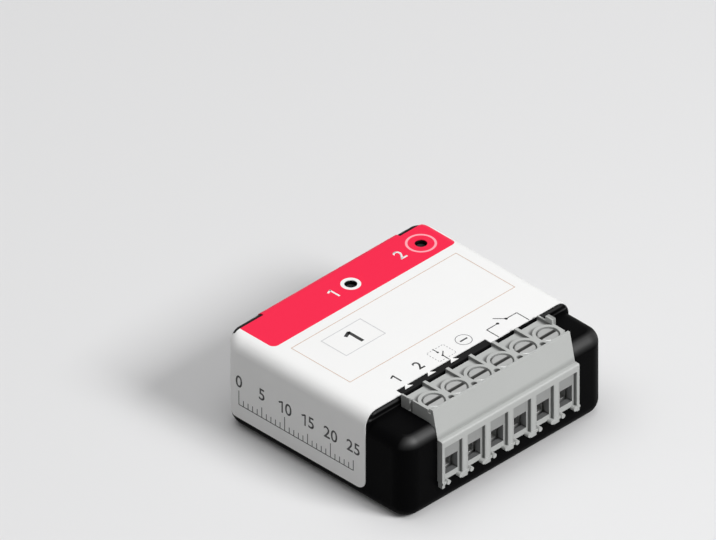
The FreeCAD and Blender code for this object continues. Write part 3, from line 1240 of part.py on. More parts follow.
def make_radio():
    left = "radio_x - radio_length / 2"
    right = "radio_x + radio_length / 2"
    middle = front("radio_depth")
    top = "logic_top + radio_thickness"
    node(block("RadioBoard", "radio_x", middle, "logic_top", "radio_length", "radio_width",
               "radio_thickness"), "radio_board")
    shield_plain = block("ShieldPlain", f"{right} - radio_margin - shield_length / 2", middle, top,
                         "shield_length", "shield_width", "shield_height")
    shield_edges = {spot: size["shield_round"] for spot in TOP_EDGES + UPRIGHTS}
    node(round_edges("RadioShield", shield_plain, shield_edges), "radio_shield")
    node(block("RadioAntenna", f"{left} + radio_margin + aerial_width / 2", middle, top, "aerial_width",
               "aerial_length", "aerial_height"), "radio_antenna")


def make_tact_switch():
    """The small switch under the button rod: body, plunger and legs."""
    x, y = "button_x", front("pinholes_depth")
    body_plain = block("TactPlain", x, y, "logic_top", "tact_side", "tact_side", "tact_height")
    bore = rod("TactBore", x, y, "logic_top + plunger_seat", "plunger_radius + plunger_clearance",
               "tact_height")
    node(cut("TactSwitchBody", body_plain, bore), "tact_switch_body")

    plunger = new_body("TactPlunger")
    low = "logic_top + plunger_seat + button_travel + part_gap"
    disc = sketch_on(plunger, "XY_Plane", low)
    draw_circle(disc, "0", "0", "plunger_radius")
    extrude(plunger, "Pad", disc, f"logic_top + plunger_top - ({low})")
    place(plunger, x, y)
    node(plunger, "tact_switch_plunger")

    legs = []
    for side in (-1, 1):
        for sign in (-1, 1):
            legs.append(block(f"TactLeg{side + sign + 2}{'ab'[sign > 0]}",
                              f"{x} + {sign} * tact_side / 3",
                              f"{y} + {side} * (tact_side / 2 + tact_leg_reach / 2)", "logic_top",
                              "leg_width", "tact_leg_reach", "leg_thickness"))
    node(group("TactLegs", legs), "tact_switch_legs")
    node(block("StatusLight", "light_x", y, "logic_top", "light_length", "light_width", "light_height"),
         "status_light")


make_lower_case()
make_top_cover()
make_wrap_label()
make_push_button()
make_light_pipe()
make_terminal_top(make_terminal_housing())
for pole in range(1, int(size["poles"]) + 1):
    make_terminal_screw(pole)
    make_clamp_cage(pole)
make_contact_bars()
make_main_board()
make_logic_board()
make_header()
make_board_spacers()
make_relay_case()
make_relay_magnet()
make_relay_contacts()
make_component_leads(make_supply_parts())
make_cans()
make_chips()
make_radio()
make_tact_switch()
doc.recompute()

for item in doc.Objects:
    if "Invalid" in item.State or "Error" in item.State:
        raise RuntimeError(f"{item.Name} failed: {item.State}")
for label, item in nodes.items():
    if item.Shape.isNull() or not item.Shape.isValid():
        raise RuntimeError(f"{label} has no valid shape")

os.makedirs("parts", exist_ok=True)
for label, item in nodes.items():
    item.Shape.exportStep(f"parts/{label}.step")
    bounds = item.Shape.BoundBox
    print(f"{label}: {len(item.Shape.Solids)} solid(s), {item.Shape.Volume:.2f} mm3, "
          f"x {bounds.XMin:.2f} {bounds.XMax:.2f}, y {bounds.YMin:.2f} {bounds.YMax:.2f}, "
          f"z {bounds.ZMin:.2f} {bounds.ZMax:.2f}")
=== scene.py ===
import json
import math

import bmesh
import bpy
from mathutils import Matrix, Vector


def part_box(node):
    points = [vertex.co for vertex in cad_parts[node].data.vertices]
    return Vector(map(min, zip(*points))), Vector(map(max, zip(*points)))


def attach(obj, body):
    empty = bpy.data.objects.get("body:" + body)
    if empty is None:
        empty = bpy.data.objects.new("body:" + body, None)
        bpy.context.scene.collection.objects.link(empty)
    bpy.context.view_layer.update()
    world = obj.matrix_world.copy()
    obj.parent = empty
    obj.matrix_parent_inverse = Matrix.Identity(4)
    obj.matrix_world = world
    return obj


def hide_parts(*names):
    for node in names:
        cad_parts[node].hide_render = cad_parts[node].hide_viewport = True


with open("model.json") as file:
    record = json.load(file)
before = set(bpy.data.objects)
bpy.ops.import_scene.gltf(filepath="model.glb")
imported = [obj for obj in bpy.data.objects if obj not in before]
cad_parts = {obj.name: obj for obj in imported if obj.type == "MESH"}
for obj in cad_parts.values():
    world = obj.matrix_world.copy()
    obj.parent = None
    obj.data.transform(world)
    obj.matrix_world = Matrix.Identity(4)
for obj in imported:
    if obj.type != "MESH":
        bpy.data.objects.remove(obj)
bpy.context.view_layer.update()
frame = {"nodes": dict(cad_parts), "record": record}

nodes = frame["nodes"]
millimetre = 0.001
bodyOf = {name: body for body, names in frame["record"]["behaviour"]["bodies"].items() for name in names}
slotOf = {part["node"]: part["material_slot"] for part in frame["record"]["subparts"]}
print("frame loaded:", len(nodes), "nodes")


# Helpers that add shader nodes

def addNode(tree, kind, inputs=None, **settings):
    node = tree.nodes.new(kind)
    for name, value in settings.items():
        setattr(node, name, value)
    for name, value in (inputs or {}).items():
        if isinstance(value, bpy.types.NodeSocket):
            tree.links.new(value, node.inputs[name])
        else:
            node.inputs[name].default_value = value
    return node


def useGroup(tree, group, inputs):
    return addNode(tree, "ShaderNodeGroup", inputs, node_tree=group)


def mathNode(tree, operation, first, second=0.0, third=0.0):
    return addNode(tree, "ShaderNodeMath", {0: first, 1: second, 2: third}, operation=operation).outputs[0]


def vectorNode(tree, operation, first, second=(0, 0, 0)):
    return addNode(tree, "ShaderNodeVectorMath", {0: first, 1: second}, operation=operation).outputs


def scaleVector(tree, vector, factor):
    return addNode(tree, "ShaderNodeVectorMath", {0: vector, "Scale": factor},
                   operation="SCALE").outputs["Vector"]


def splitVector(tree, vector):
    return addNode(tree, "ShaderNodeSeparateXYZ", {0: vector}).outputs


def joinVector(tree, across, along):
    return addNode(tree, "ShaderNodeCombineXYZ", {"X": across, "Y": along}).outputs["Vector"]


def mixColour(tree, factor, first, second):
    mix = addNode(tree, "ShaderNodeMix", data_type="RGBA")
    tree.links.new(factor, mix.inputs["Factor"])
    for label, colour in (("A", first), ("B", second)):
        if isinstance(colour, bpy.types.NodeSocket):
            tree.links.new(colour, mix.inputs[label])
        else:
            mix.inputs[label].default_value = (*colour, 1)
    return mix.outputs["Result"]


# Masks worked out from places and distances

def product(tree, first, *others):
    for other in others:
        first = mathNode(tree, "MULTIPLY", first, other)
    return first


def largest(tree, first, *others):
    for other in others:
        first = mathNode(tree, "MAXIMUM", first, other)
    return first


def above(tree, value, limit):
    return mathNode(tree, "GREATER_THAN", value, limit)


def below(tree, value, limit):
    return mathNode(tree, "LESS_THAN", value, limit)


def within(tree, value, centre, half):
    return mathNode(tree, "COMPARE", value, centre, half)


def sizeOf(tree, value):
    return mathNode(tree, "ABSOLUTE", value)


def offsetFrom(tree, value, centre):
    return mathNode(tree, "SUBTRACT", value, centre)


def distanceTo(tree, value, centre):
    return sizeOf(tree, offsetFrom(tree, value, centre))


def flatDistance(tree, across, along):
    return vectorNode(tree, "LENGTH", joinVector(tree, across, along))["Value"]


def rampMask(tree, value, span, ends=(0.0, 1.0)):
    return addNode(tree, "ShaderNodeMapRange", {"Value": value, "From Min": span[0], "From Max": span[1],
                                                "To Min": ends[0], "To Max": ends[1]}).outputs["Result"]


def fadeMask(tree, value, span):
    return rampMask(tree, value, span, (1.0, 0.0))


# Shader node groups shared by the materials

def newGroup(name, inputs, outputs):
    group = bpy.data.node_groups.new(name, "ShaderNodeTree")
    for direction, sockets in (("INPUT", inputs), ("OUTPUT", outputs)):
        for label, kind in sockets.items():
            group.interface.new_socket(name=label, in_out=direction, socket_type=f"NodeSocket{kind}")
    enter = group.nodes.new("NodeGroupInput")
    leave = group.nodes.new("NodeGroupOutput")
    return group, enter.outputs, leave.inputs


surfaceOutputs = {"Colour": "Color", "Roughness": "Float", "Height": "Float"}
noiseMiddle = 0.5
skinLook = {
    "grainDetail": 3.0, "grainRoughness": 0.6, "flowScale": 0.12, "flowDetail": 2.0, "speckScale": 1.7,
    "fineShare": 0.6, "grainShare": 0.6, "speckShare": 0.4}


def makeMoldedSkin():  # spark-eroded grain, slow flow marks and faint specks in the gloss
    look = skinLook
    group, given, out = newGroup("moldedSkin", {
        "Vector": "Vector", "Grain Scale": "Float", "Colour": "Color", "Variation": "Float",
        "Roughness": "Float", "Roughness Spread": "Float"}, surfaceOutputs)
    grain = addNode(group, "ShaderNodeTexNoise", {
        "Vector": given["Vector"], "Scale": given["Grain Scale"], "Detail": look["grainDetail"],
        "Roughness": look["grainRoughness"]}).outputs["Fac"]
    flow = addNode(group, "ShaderNodeTexNoise", {
        "Vector": given["Vector"], "Scale": look["flowScale"], "Detail": look["flowDetail"]}).outputs["Fac"]
    speck = addNode(group, "ShaderNodeTexVoronoi", {
        "Vector": given["Vector"], "Scale": look["speckScale"]}).outputs["Distance"]
    tone = mathNode(group, "MULTIPLY_ADD", offsetFrom(group, flow, noiseMiddle), given["Variation"], 1.0)
    fine = mathNode(group, "MULTIPLY_ADD", offsetFrom(group, grain, noiseMiddle),
                    product(group, given["Variation"], look["fineShare"]), tone)
    group.links.new(scaleVector(group, given["Colour"], fine), out["Colour"])
    mixed = mathNode(group, "ADD", product(group, grain, look["grainShare"]),
                     product(group, speck, look["speckShare"]))
    spread = mathNode(group, "MULTIPLY_ADD", offsetFrom(group, mixed, noiseMiddle),
                      given["Roughness Spread"], given["Roughness"])
    group.links.new(spread, out["Roughness"])
    group.links.new(grain, out["Height"])
    return group


metalLook = {
    "lineScale": 2.0, "lineDetail": 4.0, "lineRoughness": 0.65, "blotchScale": 0.7, "blotchDetail": 3.0,
    "stainFrom": (0.5, 0.75), "stainDepth": (0.0, 0.55), "lineShare": 0.25, "stainShare": 0.2}


def makeDrawnMetal():  # fine lines from drawing or turning, blotches in the plating
    look = metalLook
    group, given, out = newGroup("drawnMetal", {
        "Vector": "Vector", "Stretch": "Vector", "Colour": "Color", "Stain": "Color",
        "Roughness": "Float"}, surfaceOutputs)
    along = vectorNode(group, "MULTIPLY", given["Vector"], given["Stretch"])["Vector"]
    lines = addNode(group, "ShaderNodeTexNoise", {
        "Vector": along, "Scale": look["lineScale"], "Detail": look["lineDetail"],
        "Roughness": look["lineRoughness"]}).outputs["Fac"]
    blotch = addNode(group, "ShaderNodeTexNoise", {
        "Vector": given["Vector"], "Scale": look["blotchScale"],
        "Detail": look["blotchDetail"]}).outputs["Fac"]
    stain = rampMask(group, blotch, look["stainFrom"], look["stainDepth"])
    group.links.new(mixColour(group, stain, given["Colour"], given["Stain"]), out["Colour"])
    rough = mathNode(group, "MULTIPLY_ADD", offsetFrom(group, lines, noiseMiddle), look["lineShare"],
                     given["Roughness"])
    group.links.new(mathNode(group, "MULTIPLY_ADD", stain, look["stainShare"], rough), out["Roughness"])
    group.links.new(lines, out["Height"])
    return group


printEdge = (-0.02, 0.02)


def makePanelMask():  # a rectangle with round corners on the XY plane, in millimetres
    group, given, out = newGroup("panelMask", {
        "Vector": "Vector", "Centre": "Vector", "Half Size": "Vector", "Corner": "Float"}, {"Mask": "Float"})
    offset = vectorNode(group, "SUBTRACT", given["Vector"], given["Centre"])["Vector"]
    place = splitVector(group, vectorNode(group, "ABSOLUTE", offset)["Vector"])
    half = splitVector(group, given["Half Size"])
    beyond = []
    for axis in ("X", "Y"):
        inner = offsetFrom(group, half[axis], given["Corner"])
        beyond.append(largest(group, offsetFrom(group, place[axis], inner), 0.0))
    away = offsetFrom(group, flatDistance(group, *beyond), given["Corner"])
    group.links.new(fadeMask(group, away, printEdge), out["Mask"])
    return group


def makeRingMask():  # a printed ring on the XY plane, in millimetres
    group, given, out = newGroup("ringMask", {
        "Vector": "Vector", "Centre": "Vector", "Inner": "Float", "Outer": "Float"}, {"Mask": "Float"})
    offset = splitVector(group, vectorNode(group, "SUBTRACT", given["Vector"], given["Centre"])["Vector"])
    away = flatDistance(group, offset["X"], offset["Y"])
    inside = fadeMask(group, offsetFrom(group, away, given["Outer"]), printEdge)
    outside = rampMask(group, offsetFrom(group, away, given["Inner"]), printEdge)
    group.links.new(product(group, inside, outside), out["Mask"])
    return group


moldedSkin = makeMoldedSkin()
drawnMetal = makeDrawnMetal()
panelMask = makePanelMask()
ringMask = makeRingMask()
print("node groups made")


# Materials, all in millimetres on Object coordinates

def newMaterial(name):
    material = bpy.data.materials.new(name)
    material.use_nodes = True
    tree = material.node_tree
    coordinates = addNode(tree, "ShaderNodeTexCoord").outputs["Object"]
    return material, tree, scaleVector(tree, coordinates, 1 / millimetre)


def addSkin(tree, place, colour, grain, variation, roughness, spread):
    if not isinstance(colour, bpy.types.NodeSocket):
        colour = (*colour, 1)
    return useGroup(tree, moldedSkin, {"Vector": place, "Grain Scale": grain, "Colour": colour,
                                       "Variation": variation, "Roughness": roughness,
                                       "Roughness Spread": spread}).outputs


def addMetal(tree, place, colour, stain, stretch, roughness):
    return useGroup(tree, drawnMetal, {"Vector": place, "Stretch": stretch, "Colour": (*colour, 1),
                                       "Stain": (*stain, 1), "Roughness": roughness}).outputs


def finishSurface(tree, surface, bump, constants, colour=None, height=None):
    shader = tree.nodes["Principled BSDF"].inputs
    tree.links.new(colour or surface["Colour"], shader["Base Color"])
    tree.links.new(surface["Roughness"], shader["Roughness"])
    relief = addNode(tree, "ShaderNodeBump", {"Height": height or surface["Height"], "Strength": 1.0,
                                              "Distance": bump * millimetre})
    tree.links.new(relief.outputs["Normal"], shader["Normal"])
    for name, value in constants.items():
        shader[name].default_value = value


def moldedPlastic(name, colour, roughness, grain, variation, bump=0.01, spread=0.12, clear=0.0):
    material, tree, place = newMaterial(name)
    skin = addSkin(tree, place, colour, grain, variation, roughness, spread)
    finishSurface(tree, skin, bump, {"Transmission Weight": clear})
    return material


inkFinish = {"roughness": 0.45, "grain": 5.0, "bump": 0.003}


def printInk(name, colour, variation):
    return moldedPlastic(name, colour, variation=variation, **inkFinish)


plating = {"bump": 0.004, "stainShade": 0.8}


def platedMetal(name, colour, roughness, stretch, stain=None):
    material, tree, place = newMaterial(name)
    stain = stain or tuple(plating["stainShade"] * value for value in colour)
    metal = addMetal(tree, place, colour, stain, stretch, roughness)
    finishSurface(tree, metal, plating["bump"], {"Metallic": 1.0})
    return material


windingFinish = {"wire": (0.62, 0.25, 0.1), "stain": (0.3, 0.1, 0.04), "groove": (0.12, 0.04, 0.02),
                 "stretch": (1, 1, 6), "roughness": 0.3, "pitch": 0.28, "bandScale": 0.314, "sway": 0.15,
                 "bump": 0.08, "metallic": 0.85}


def woundWire(name):  # enamelled turns stacked along Z, with painted shade in the grooves between turns
    material, tree, place = newMaterial(name)
    finish = windingFinish
    turns = addNode(tree, "ShaderNodeTexWave", {
        "Vector": place, "Scale": finish["bandScale"] / finish["pitch"], "Distortion": finish["sway"]},
        wave_type="BANDS", bands_direction="Z", wave_profile="SIN").outputs["Fac"]
    metal = addMetal(tree, place, finish["wire"], finish["stain"], finish["stretch"], finish["roughness"])
    # painted shade: the grooves between turns take the darker groove colour
    colour = mixColour(tree, turns, finish["groove"], metal["Colour"])
    finishSurface(tree, metal, finish["bump"], {"Metallic": finish["metallic"]}, colour, turns)
    return material


boardFinish = {"mask": (0.02, 0.13, 0.05, 1), "overTracks": (0.05, 0.24, 0.1, 1), "trackWidth": 0.18,
               "trackSoftness": 0.2, "trackLength": 3.1, "trackPitch": 1.7, "shift": 0.37, "squash": 1.6,
               "weaveScale": 4.0, "weaveShare": 0.1, "grain": 5.0, "variation": 0.1, "roughness": 0.32,
               "spread": 0.1, "bump": 0.03}


def circuitBoard(name):  # solder mask over buried tracks, with the glass weave just showing
    material, tree, place = newMaterial(name)
    finish = boardFinish
    tracks = addNode(tree, "ShaderNodeTexBrick", {
        "Vector": place, "Color1": finish["mask"], "Color2": finish["mask"], "Mortar": finish["overTracks"],
        "Scale": 1.0, "Mortar Size": finish["trackWidth"], "Mortar Smooth": finish["trackSoftness"],
        "Brick Width": finish["trackLength"], "Row Height": finish["trackPitch"]},
        offset=finish["shift"], squash=finish["squash"]).outputs
    weave = addNode(tree, "ShaderNodeTexChecker", {"Vector": place, "Scale": finish["weaveScale"]})
    skin = addSkin(tree, place, tracks["Color"], finish["grain"], finish["variation"], finish["roughness"],
                   finish["spread"])
    height = mathNode(tree, "MULTIPLY_ADD", weave.outputs["Fac"], finish["weaveShare"], tracks["Fac"])
    finishSurface(tree, skin, finish["bump"], {}, height=height)
    return material


caseFinish = {
    "plastic": (0.0022, 0.0022, 0.0024), "grain": 1.1, "variation": 0.2, "roughness": 0.4, "spread": 0.08,
    "bump": 0.005, "specular": 0.013, "coatRoughness": 0.55,
    "edgeLow": (13.2, 14.3), "edgeHigh": (15.0, 15.25), "edgeEnd": (19.2, 20.4),
    "edgeFront": (-18.8, -17.8), "edgeGloss": 0.64, "footHeight": 15.56, "footReach": (0.0, 0.24),
    "deckFrom": (16.2, 16.35), "deckFront": (-11.5, -11.35), "deckEnd": (15.0, 15.3), "deckGloss": 0.28}


def blackCase(name):  # black ABS with a sheen on the deck, at its foot and along the front of the ledge
    material, tree, place = newMaterial(name)
    finish = caseFinish
    split = splitVector(tree, place)
    skin = addSkin(tree, place, finish["plastic"], finish["grain"], finish["variation"],
                   finish["roughness"], finish["spread"])
    fromMiddle = sizeOf(tree, split["X"])
    inFront = largest(tree, fadeMask(tree, fromMiddle, finish["edgeEnd"]),
                      fadeMask(tree, split["Y"], finish["edgeFront"]))
    edge = product(tree, rampMask(tree, split["Z"], finish["edgeLow"]),
                   fadeMask(tree, split["Z"], finish["edgeHigh"]), inFront, finish["edgeGloss"])
    foot = fadeMask(tree, distanceTo(tree, split["Z"], finish["footHeight"]), finish["footReach"])
    besideBlock = largest(tree, rampMask(tree, split["Y"], finish["deckFront"]),
                          rampMask(tree, fromMiddle, finish["deckEnd"]))
    deck = product(tree, rampMask(tree, split["Z"], finish["deckFrom"]), besideBlock, finish["deckGloss"])
    finishSurface(tree, skin, finish["bump"], {"Specular IOR Level": finish["specular"],
                                               "Coat Roughness": finish["coatRoughness"]})
    tree.links.new(largest(tree, edge, foot, deck), tree.nodes["Principled BSDF"].inputs["Coat Weight"])
    return material


labelPrint = {
    "white": (0.86, 0.86, 0.855), "red": (0.88, 0.012, 0.063), "ringPink": (0.95, 0.38, 0.44),
    "grain": 3.5, "variation": 0.02, "roughness": 0.45, "spread": 0.1, "bump": 0.004, "specular": 0.2,
    "bandCentre": (0.58, 16.4, 0), "bandHalf": (20.08, 5.03, 0), "bandCorner": 1.1, "bandFloor": 15.9,
    "lightCentre": (1.1, 15.1, 0), "lightRing": (0.9, 1.62),
    "buttonCentre": (16.45, 15.1, 0), "buttonRing": (2.1, 2.48)}


def labelFilm(name):  # satin film with a red band and two printed rings
    material, tree, place = newMaterial(name)
    look = labelPrint
    paper = addSkin(tree, place, look["white"], look["grain"], look["variation"], look["roughness"],
                    look["spread"])
    onTop = above(tree, splitVector(tree, place)["Z"], look["bandFloor"])
    band = useGroup(tree, panelMask, {"Vector": place, "Centre": look["bandCentre"],
                                      "Half Size": look["bandHalf"],
                                      "Corner": look["bandCorner"]}).outputs["Mask"]
    colour = mixColour(tree, product(tree, band, onTop), paper["Colour"], look["red"])
    for centre, ring, ink in (("lightCentre", "lightRing", "white"),
                              ("buttonCentre", "buttonRing", "ringPink")):
        mask = useGroup(tree, ringMask, {"Vector": place, "Centre": look[centre], "Inner": look[ring][0],
                                         "Outer": look[ring][1]}).outputs["Mask"]
        colour = mixColour(tree, product(tree, mask, onTop), colour, look[ink])
    finishSurface(tree, paper, look["bump"], {"Specular IOR Level": look["specular"]}, colour)
    return material


terminalFinish = {
    "plastic": (0.44, 0.45, 0.44), "grain": 7.0, "variation": 0.06, "roughness": 0.52, "spread": 0.15,
    "bump": 0.012, "specular": 0.35, "pitch": 5.0, "zoneCorner": 0.1,
    # painted shade: the recessed face under each lintel, the inside of each wire opening and its floor are
    # darkened
    "shadeZones": (
        {"centre": (0, 10.3, 0), "half": (1.42, 1.2, 0), "from": -20.56, "shade": (0.285, 0.29, 0.285)},
        {"centre": (0, 7.55, 0), "half": (1.4, 1.6, 0), "from": -20.44, "shade": (0.25, 0.252, 0.255)},
        {"centre": (0, 6.05, 0), "half": (1.4, 0.2, 0), "from": -20.44, "shade": (0.135, 0.137, 0.137)}),
    # painted shade in the inner corner beside each rib, below the lintel
    "corner": {"x": 1.9, "y": -20.5, "top": 11.5, "span": (0.0, 0.6), "depth": 0.85,
               "shade": (0.07, 0.072, 0.072)},
    # painted shade along the fold where the front slope turns down
    "fold": {"height": 12.95, "span": (0.0, 0.75), "front": -20.2, "back": -19.0, "depth": 0.5,
             "shade": (0.19, 0.194, 0.19)},
    # painted shade in the hollows beside each fin and round each screw collar
    "hollow": {"finX": 2.2, "finSpan": (0.15, 0.6), "ringY": -16.6, "ringRadius": 2.45,
               "ringSpan": (0.3, 0.85), "height": 17.13, "half": 0.29, "front": -16.0, "end": 14.9,
               "depth": 0.8, "shade": (0.14, 0.142, 0.14)},
    # painted shade around each pit between the poles
    "pit": {"y": -18.0, "span": (0.45, 0.62), "bottom": 16.84, "top": 17.6, "end": 13.0, "depth": 0.8,
            "shade": (0.05, 0.051, 0.05)},
    # painted shade on both end faces
    "end": {"span": (14.95, 15.0), "depth": 0.55, "shade": (0.15, 0.153, 0.15)},
    # painted shade in the groove at the left end
    "groove": {"x": -14.4, "y": -14.2, "half": 0.3, "depth": 0.7, "shade": (0.06, 0.06, 0.06)}}


# painted shade: darker towards the inner corner beside each rib
def cornerMask(tree, split, fromPole, spot):
    away = flatDistance(tree, offsetFrom(tree, sizeOf(tree, fromPole), spot["x"]),
                        offsetFrom(tree, split["Y"], spot["y"]))
    return product(tree, fadeMask(tree, away, spot["span"]), below(tree, split["Z"], spot["top"]))


# painted shade: a dark band along the fold below the slope
def foldMask(tree, split, fromPole, spot):
    return product(tree, fadeMask(tree, distanceTo(tree, split["Z"], spot["height"]), spot["span"]),
                   above(tree, split["Y"], spot["front"]), below(tree, split["Y"], spot["back"]))


# painted shade in the hollows beside the fins and round the collars
def hollowMask(tree, split, fromPole, spot):
    fromFin = distanceTo(tree, sizeOf(tree, fromPole), spot["finX"])
    fromScrew = flatDistance(tree, fromPole, offsetFrom(tree, split["Y"], spot["ringY"]))
    fromRing = distanceTo(tree, fromScrew, spot["ringRadius"])
    return product(tree, largest(tree, fadeMask(tree, fromFin, spot["finSpan"]),
                                 fadeMask(tree, fromRing, spot["ringSpan"])),
                   above(tree, split["Y"], spot["front"]),
                   within(tree, split["Z"], spot["height"], spot["half"]),
                   below(tree, sizeOf(tree, split["X"]), spot["end"]))


# painted shade: a dark ring around each pit between the poles
def pitMask(tree, split, fromPole, spot):
    betweenPoles = offsetFrom(tree, sizeOf(tree, fromPole), terminalFinish["pitch"] / 2)
    away = flatDistance(tree, betweenPoles, offsetFrom(tree, split["Y"], spot["y"]))
    return product(tree, fadeMask(tree, away, spot["span"]), above(tree, split["Z"], spot["bottom"]),
                   below(tree, split["Z"], spot["top"]), below(tree, sizeOf(tree, split["X"]), spot["end"]))


# painted shade on both end faces of the block
def endMask(tree, split, fromPole, spot):
    return rampMask(tree, sizeOf(tree, split["X"]), spot["span"])


# painted shade in the groove at the left end of the block
def grooveMask(tree, split, fromPole, spot):
    return product(tree, below(tree, split["X"], spot["x"]),
                   within(tree, split["Y"], spot["y"], spot["half"]))


def terminalPlastic(name):  # grained grey polyamide, with painted shade in its recesses, openings, corners, fold, hollows, pits, groove and ends
    material, tree, place = newMaterial(name)
    finish = terminalFinish
    skin = addSkin(tree, place, finish["plastic"], finish["grain"], finish["variation"],
                   finish["roughness"], finish["spread"])
    split = splitVector(tree, place)
    fromPole = offsetFrom(tree, mathNode(tree, "WRAP", split["X"], finish["pitch"]), finish["pitch"] / 2)
    face = joinVector(tree, fromPole, split["Z"])
    colour = skin["Colour"]
    # painted shade in the recess and the wire openings
    for zone in finish["shadeZones"]:
        panel = useGroup(tree, panelMask, {"Vector": face, "Centre": zone["centre"],
                                           "Half Size": zone["half"],
                                           "Corner": finish["zoneCorner"]}).outputs["Mask"]
        colour = mixColour(tree, product(tree, panel, above(tree, split["Y"], zone["from"])), colour,
                           zone["shade"])
    # painted shade in the corners, fold, hollows, pits, ends and groove
    for spot, makeMask in (("corner", cornerMask), ("fold", foldMask), ("hollow", hollowMask),
                           ("pit", pitMask), ("end", endMask), ("groove", grooveMask)):
        mask = makeMask(tree, split, fromPole, finish[spot])
        colour = mixColour(tree, product(tree, mask, finish[spot]["depth"]), colour, finish[spot]["shade"])
    finishSurface(tree, skin, finish["bump"], {"Specular IOR Level": finish["specular"]}, colour)
    return material


screwFinish = {
    "zinc": (0.42, 0.425, 0.42), "stain": (0.36, 0.36, 0.35), "stretch": (5.0, 0.4, 5.0), "roughness": 0.55,
    "bump": 0.004, "slotCentre": (-16.6, 16.9, 0), "slotHalf": (0.4, 0.5, 0), "slotCorner": 0.02,
    "slotShade": (0.14, 0.14, 0.136)}


def slottedZinc(name):  # zinc plate, with painted shade in the driver slot
    material, tree, place = newMaterial(name)
    finish = screwFinish
    metal = addMetal(tree, place, finish["zinc"], finish["stain"], finish["stretch"], finish["roughness"])
    split = splitVector(tree, place)
    slot = useGroup(tree, panelMask, {"Vector": joinVector(tree, split["Y"], split["Z"]),
                                      "Centre": finish["slotCentre"], "Half Size": finish["slotHalf"],
                                      "Corner": finish["slotCorner"]}).outputs["Mask"]
    # painted shade: the driver slot is darkened
    colour = mixColour(tree, slot, metal["Colour"], finish["slotShade"])
    finishSurface(tree, metal, finish["bump"], {"Metallic": 1.0}, colour)
    return material


materials = {
    "black_case": blackCase("glossBlackAbs"),
    "label_film": labelFilm("satinLabelFilm"),
    "clear_plastic": moldedPlastic("smokedAcrylic", (0.05, 0.05, 0.05), roughness=0.12, grain=1.5,
                                   variation=0.1, bump=0.002, spread=0.05, clear=0.35),
    "terminal_plastic": terminalPlastic("greyPolyamide"),
    "zinc_steel": slottedZinc("zincPlate"),
    "tinned_brass": platedMetal("tinnedBrass", (0.72, 0.7, 0.64), roughness=0.3, stretch=(4, 0.3, 4),
                                stain=(0.62, 0.52, 0.33)),
    "tinned_wire": platedMetal("tinnedWire", (0.72, 0.72, 0.72), roughness=0.25, stretch=(4, 4, 0.3)),
    "board": circuitBoard("greenSolderMask"),
    "black_plastic": moldedPlastic("mattBlackResin", (0.02, 0.02, 0.02), roughness=0.6, grain=8.0,
                                   variation=0.2),
    "relay_plastic": moldedPlastic("darkPolyester", (0.025, 0.03, 0.038), roughness=0.42, grain=4.0,
                                   variation=0.15, bump=0.012),
    "bobbin_plastic": moldedPlastic("naturalPolyamide", (0.68, 0.65, 0.58), roughness=0.45, grain=4.0,
                                    variation=0.08),
    "magnet_iron": platedMetal("nickelledIron", (0.55, 0.55, 0.56), roughness=0.4, stretch=(0.4, 5, 5)),
    "copper_wire": woundWire("enamelledCopper"),
    "contact_copper": platedMetal("rolledCopper", (0.78, 0.42, 0.26), roughness=0.33, stretch=(0.3, 5, 5),
                                  stain=(0.45, 0.2, 0.12)),
    "film_case": moldedPlastic("yellowBox", (0.68, 0.48, 0.05), roughness=0.3, grain=3.0, variation=0.08,
                               bump=0.006),
    "varistor_coating": moldedPlastic("blueEpoxy", (0.02, 0.1, 0.38), roughness=0.22, grain=1.2,
                                      variation=0.15, bump=0.04),
    "resistor_body": moldedPlastic("greenCement", (0.16, 0.36, 0.22), roughness=0.62, grain=5.0,
                                   variation=0.2, bump=0.03),
    "ferrite": moldedPlastic("sinteredFerrite", (0.05, 0.05, 0.052), roughness=0.55, grain=9.0,
                             variation=0.3, bump=0.015),
    "can_sleeve": moldedPlastic("shrinkSleeve", (0.02, 0.025, 0.05), roughness=0.28, grain=2.0,
                                variation=0.15),
    "bung_rubber": moldedPlastic("blackRubber", (0.015, 0.015, 0.015), roughness=0.75, grain=9.0,
                                 variation=0.3, bump=0.02),
    "chip_ceramic": moldedPlastic("firedCeramic", (0.42, 0.3, 0.2), roughness=0.48, grain=7.0,
                                  variation=0.2),
    "shield_metal": platedMetal("tinnedShield", (0.68, 0.68, 0.68), roughness=0.32, stretch=(0.4, 5, 5)),
    "light_lens": moldedPlastic("clearLens", (0.82, 0.82, 0.74), roughness=0.15, grain=2.0,
                                variation=0.05, bump=0.002, clear=0.4)}
markInk = printInk("markInk", (0.012, 0.012, 0.013), variation=0.15)
greyInk = printInk("greyInk", (0.16, 0.16, 0.17), variation=0.1)
paleInk = printInk("paleInk", (0.6, 0.6, 0.61), variation=0.1)
frameInk = printInk("frameInk", (0.58, 0.42, 0.33), variation=0.1)
whiteInk = printInk("whiteInk", (0.84, 0.84, 0.83), variation=0.05)
for name, obj in nodes.items():
    if obj.material_slots:
        for held in obj.material_slots:
            held.material = materials[slotOf[name]]
    else:
        obj.data.materials.append(materials[slotOf[name]])
print("materials:", len(materials))


# Moulded and turned pieces with their small edge radii

dressed = {
    "terminalBlock": {"nodes": ["terminal_housing"], "bevel": 0.09, "segments": 3},
    "lowerTub": {"nodes": ["lower_case"], "bevel": 0.06, "segments": 2},
    "upperCover": {"nodes": ["top_cover"], "bevel": 0.06, "segments": 2}}
for number in range(1, 7):
    dressed[f"clampScrew{number}"] = {"nodes": [f"terminal_screw_{number}"], "bevel": 0.05, "segments": 2}
    dressed[f"wireCage{number}"] = {"nodes": [f"clamp_cage_{number}"], "bevel": 0.05, "segments": 2}
dressing = {"merge": 0.002, "sliver": 0.001, "flatAngle": 1.0, "sharpAngle": 32, "bevelAngle": 35}


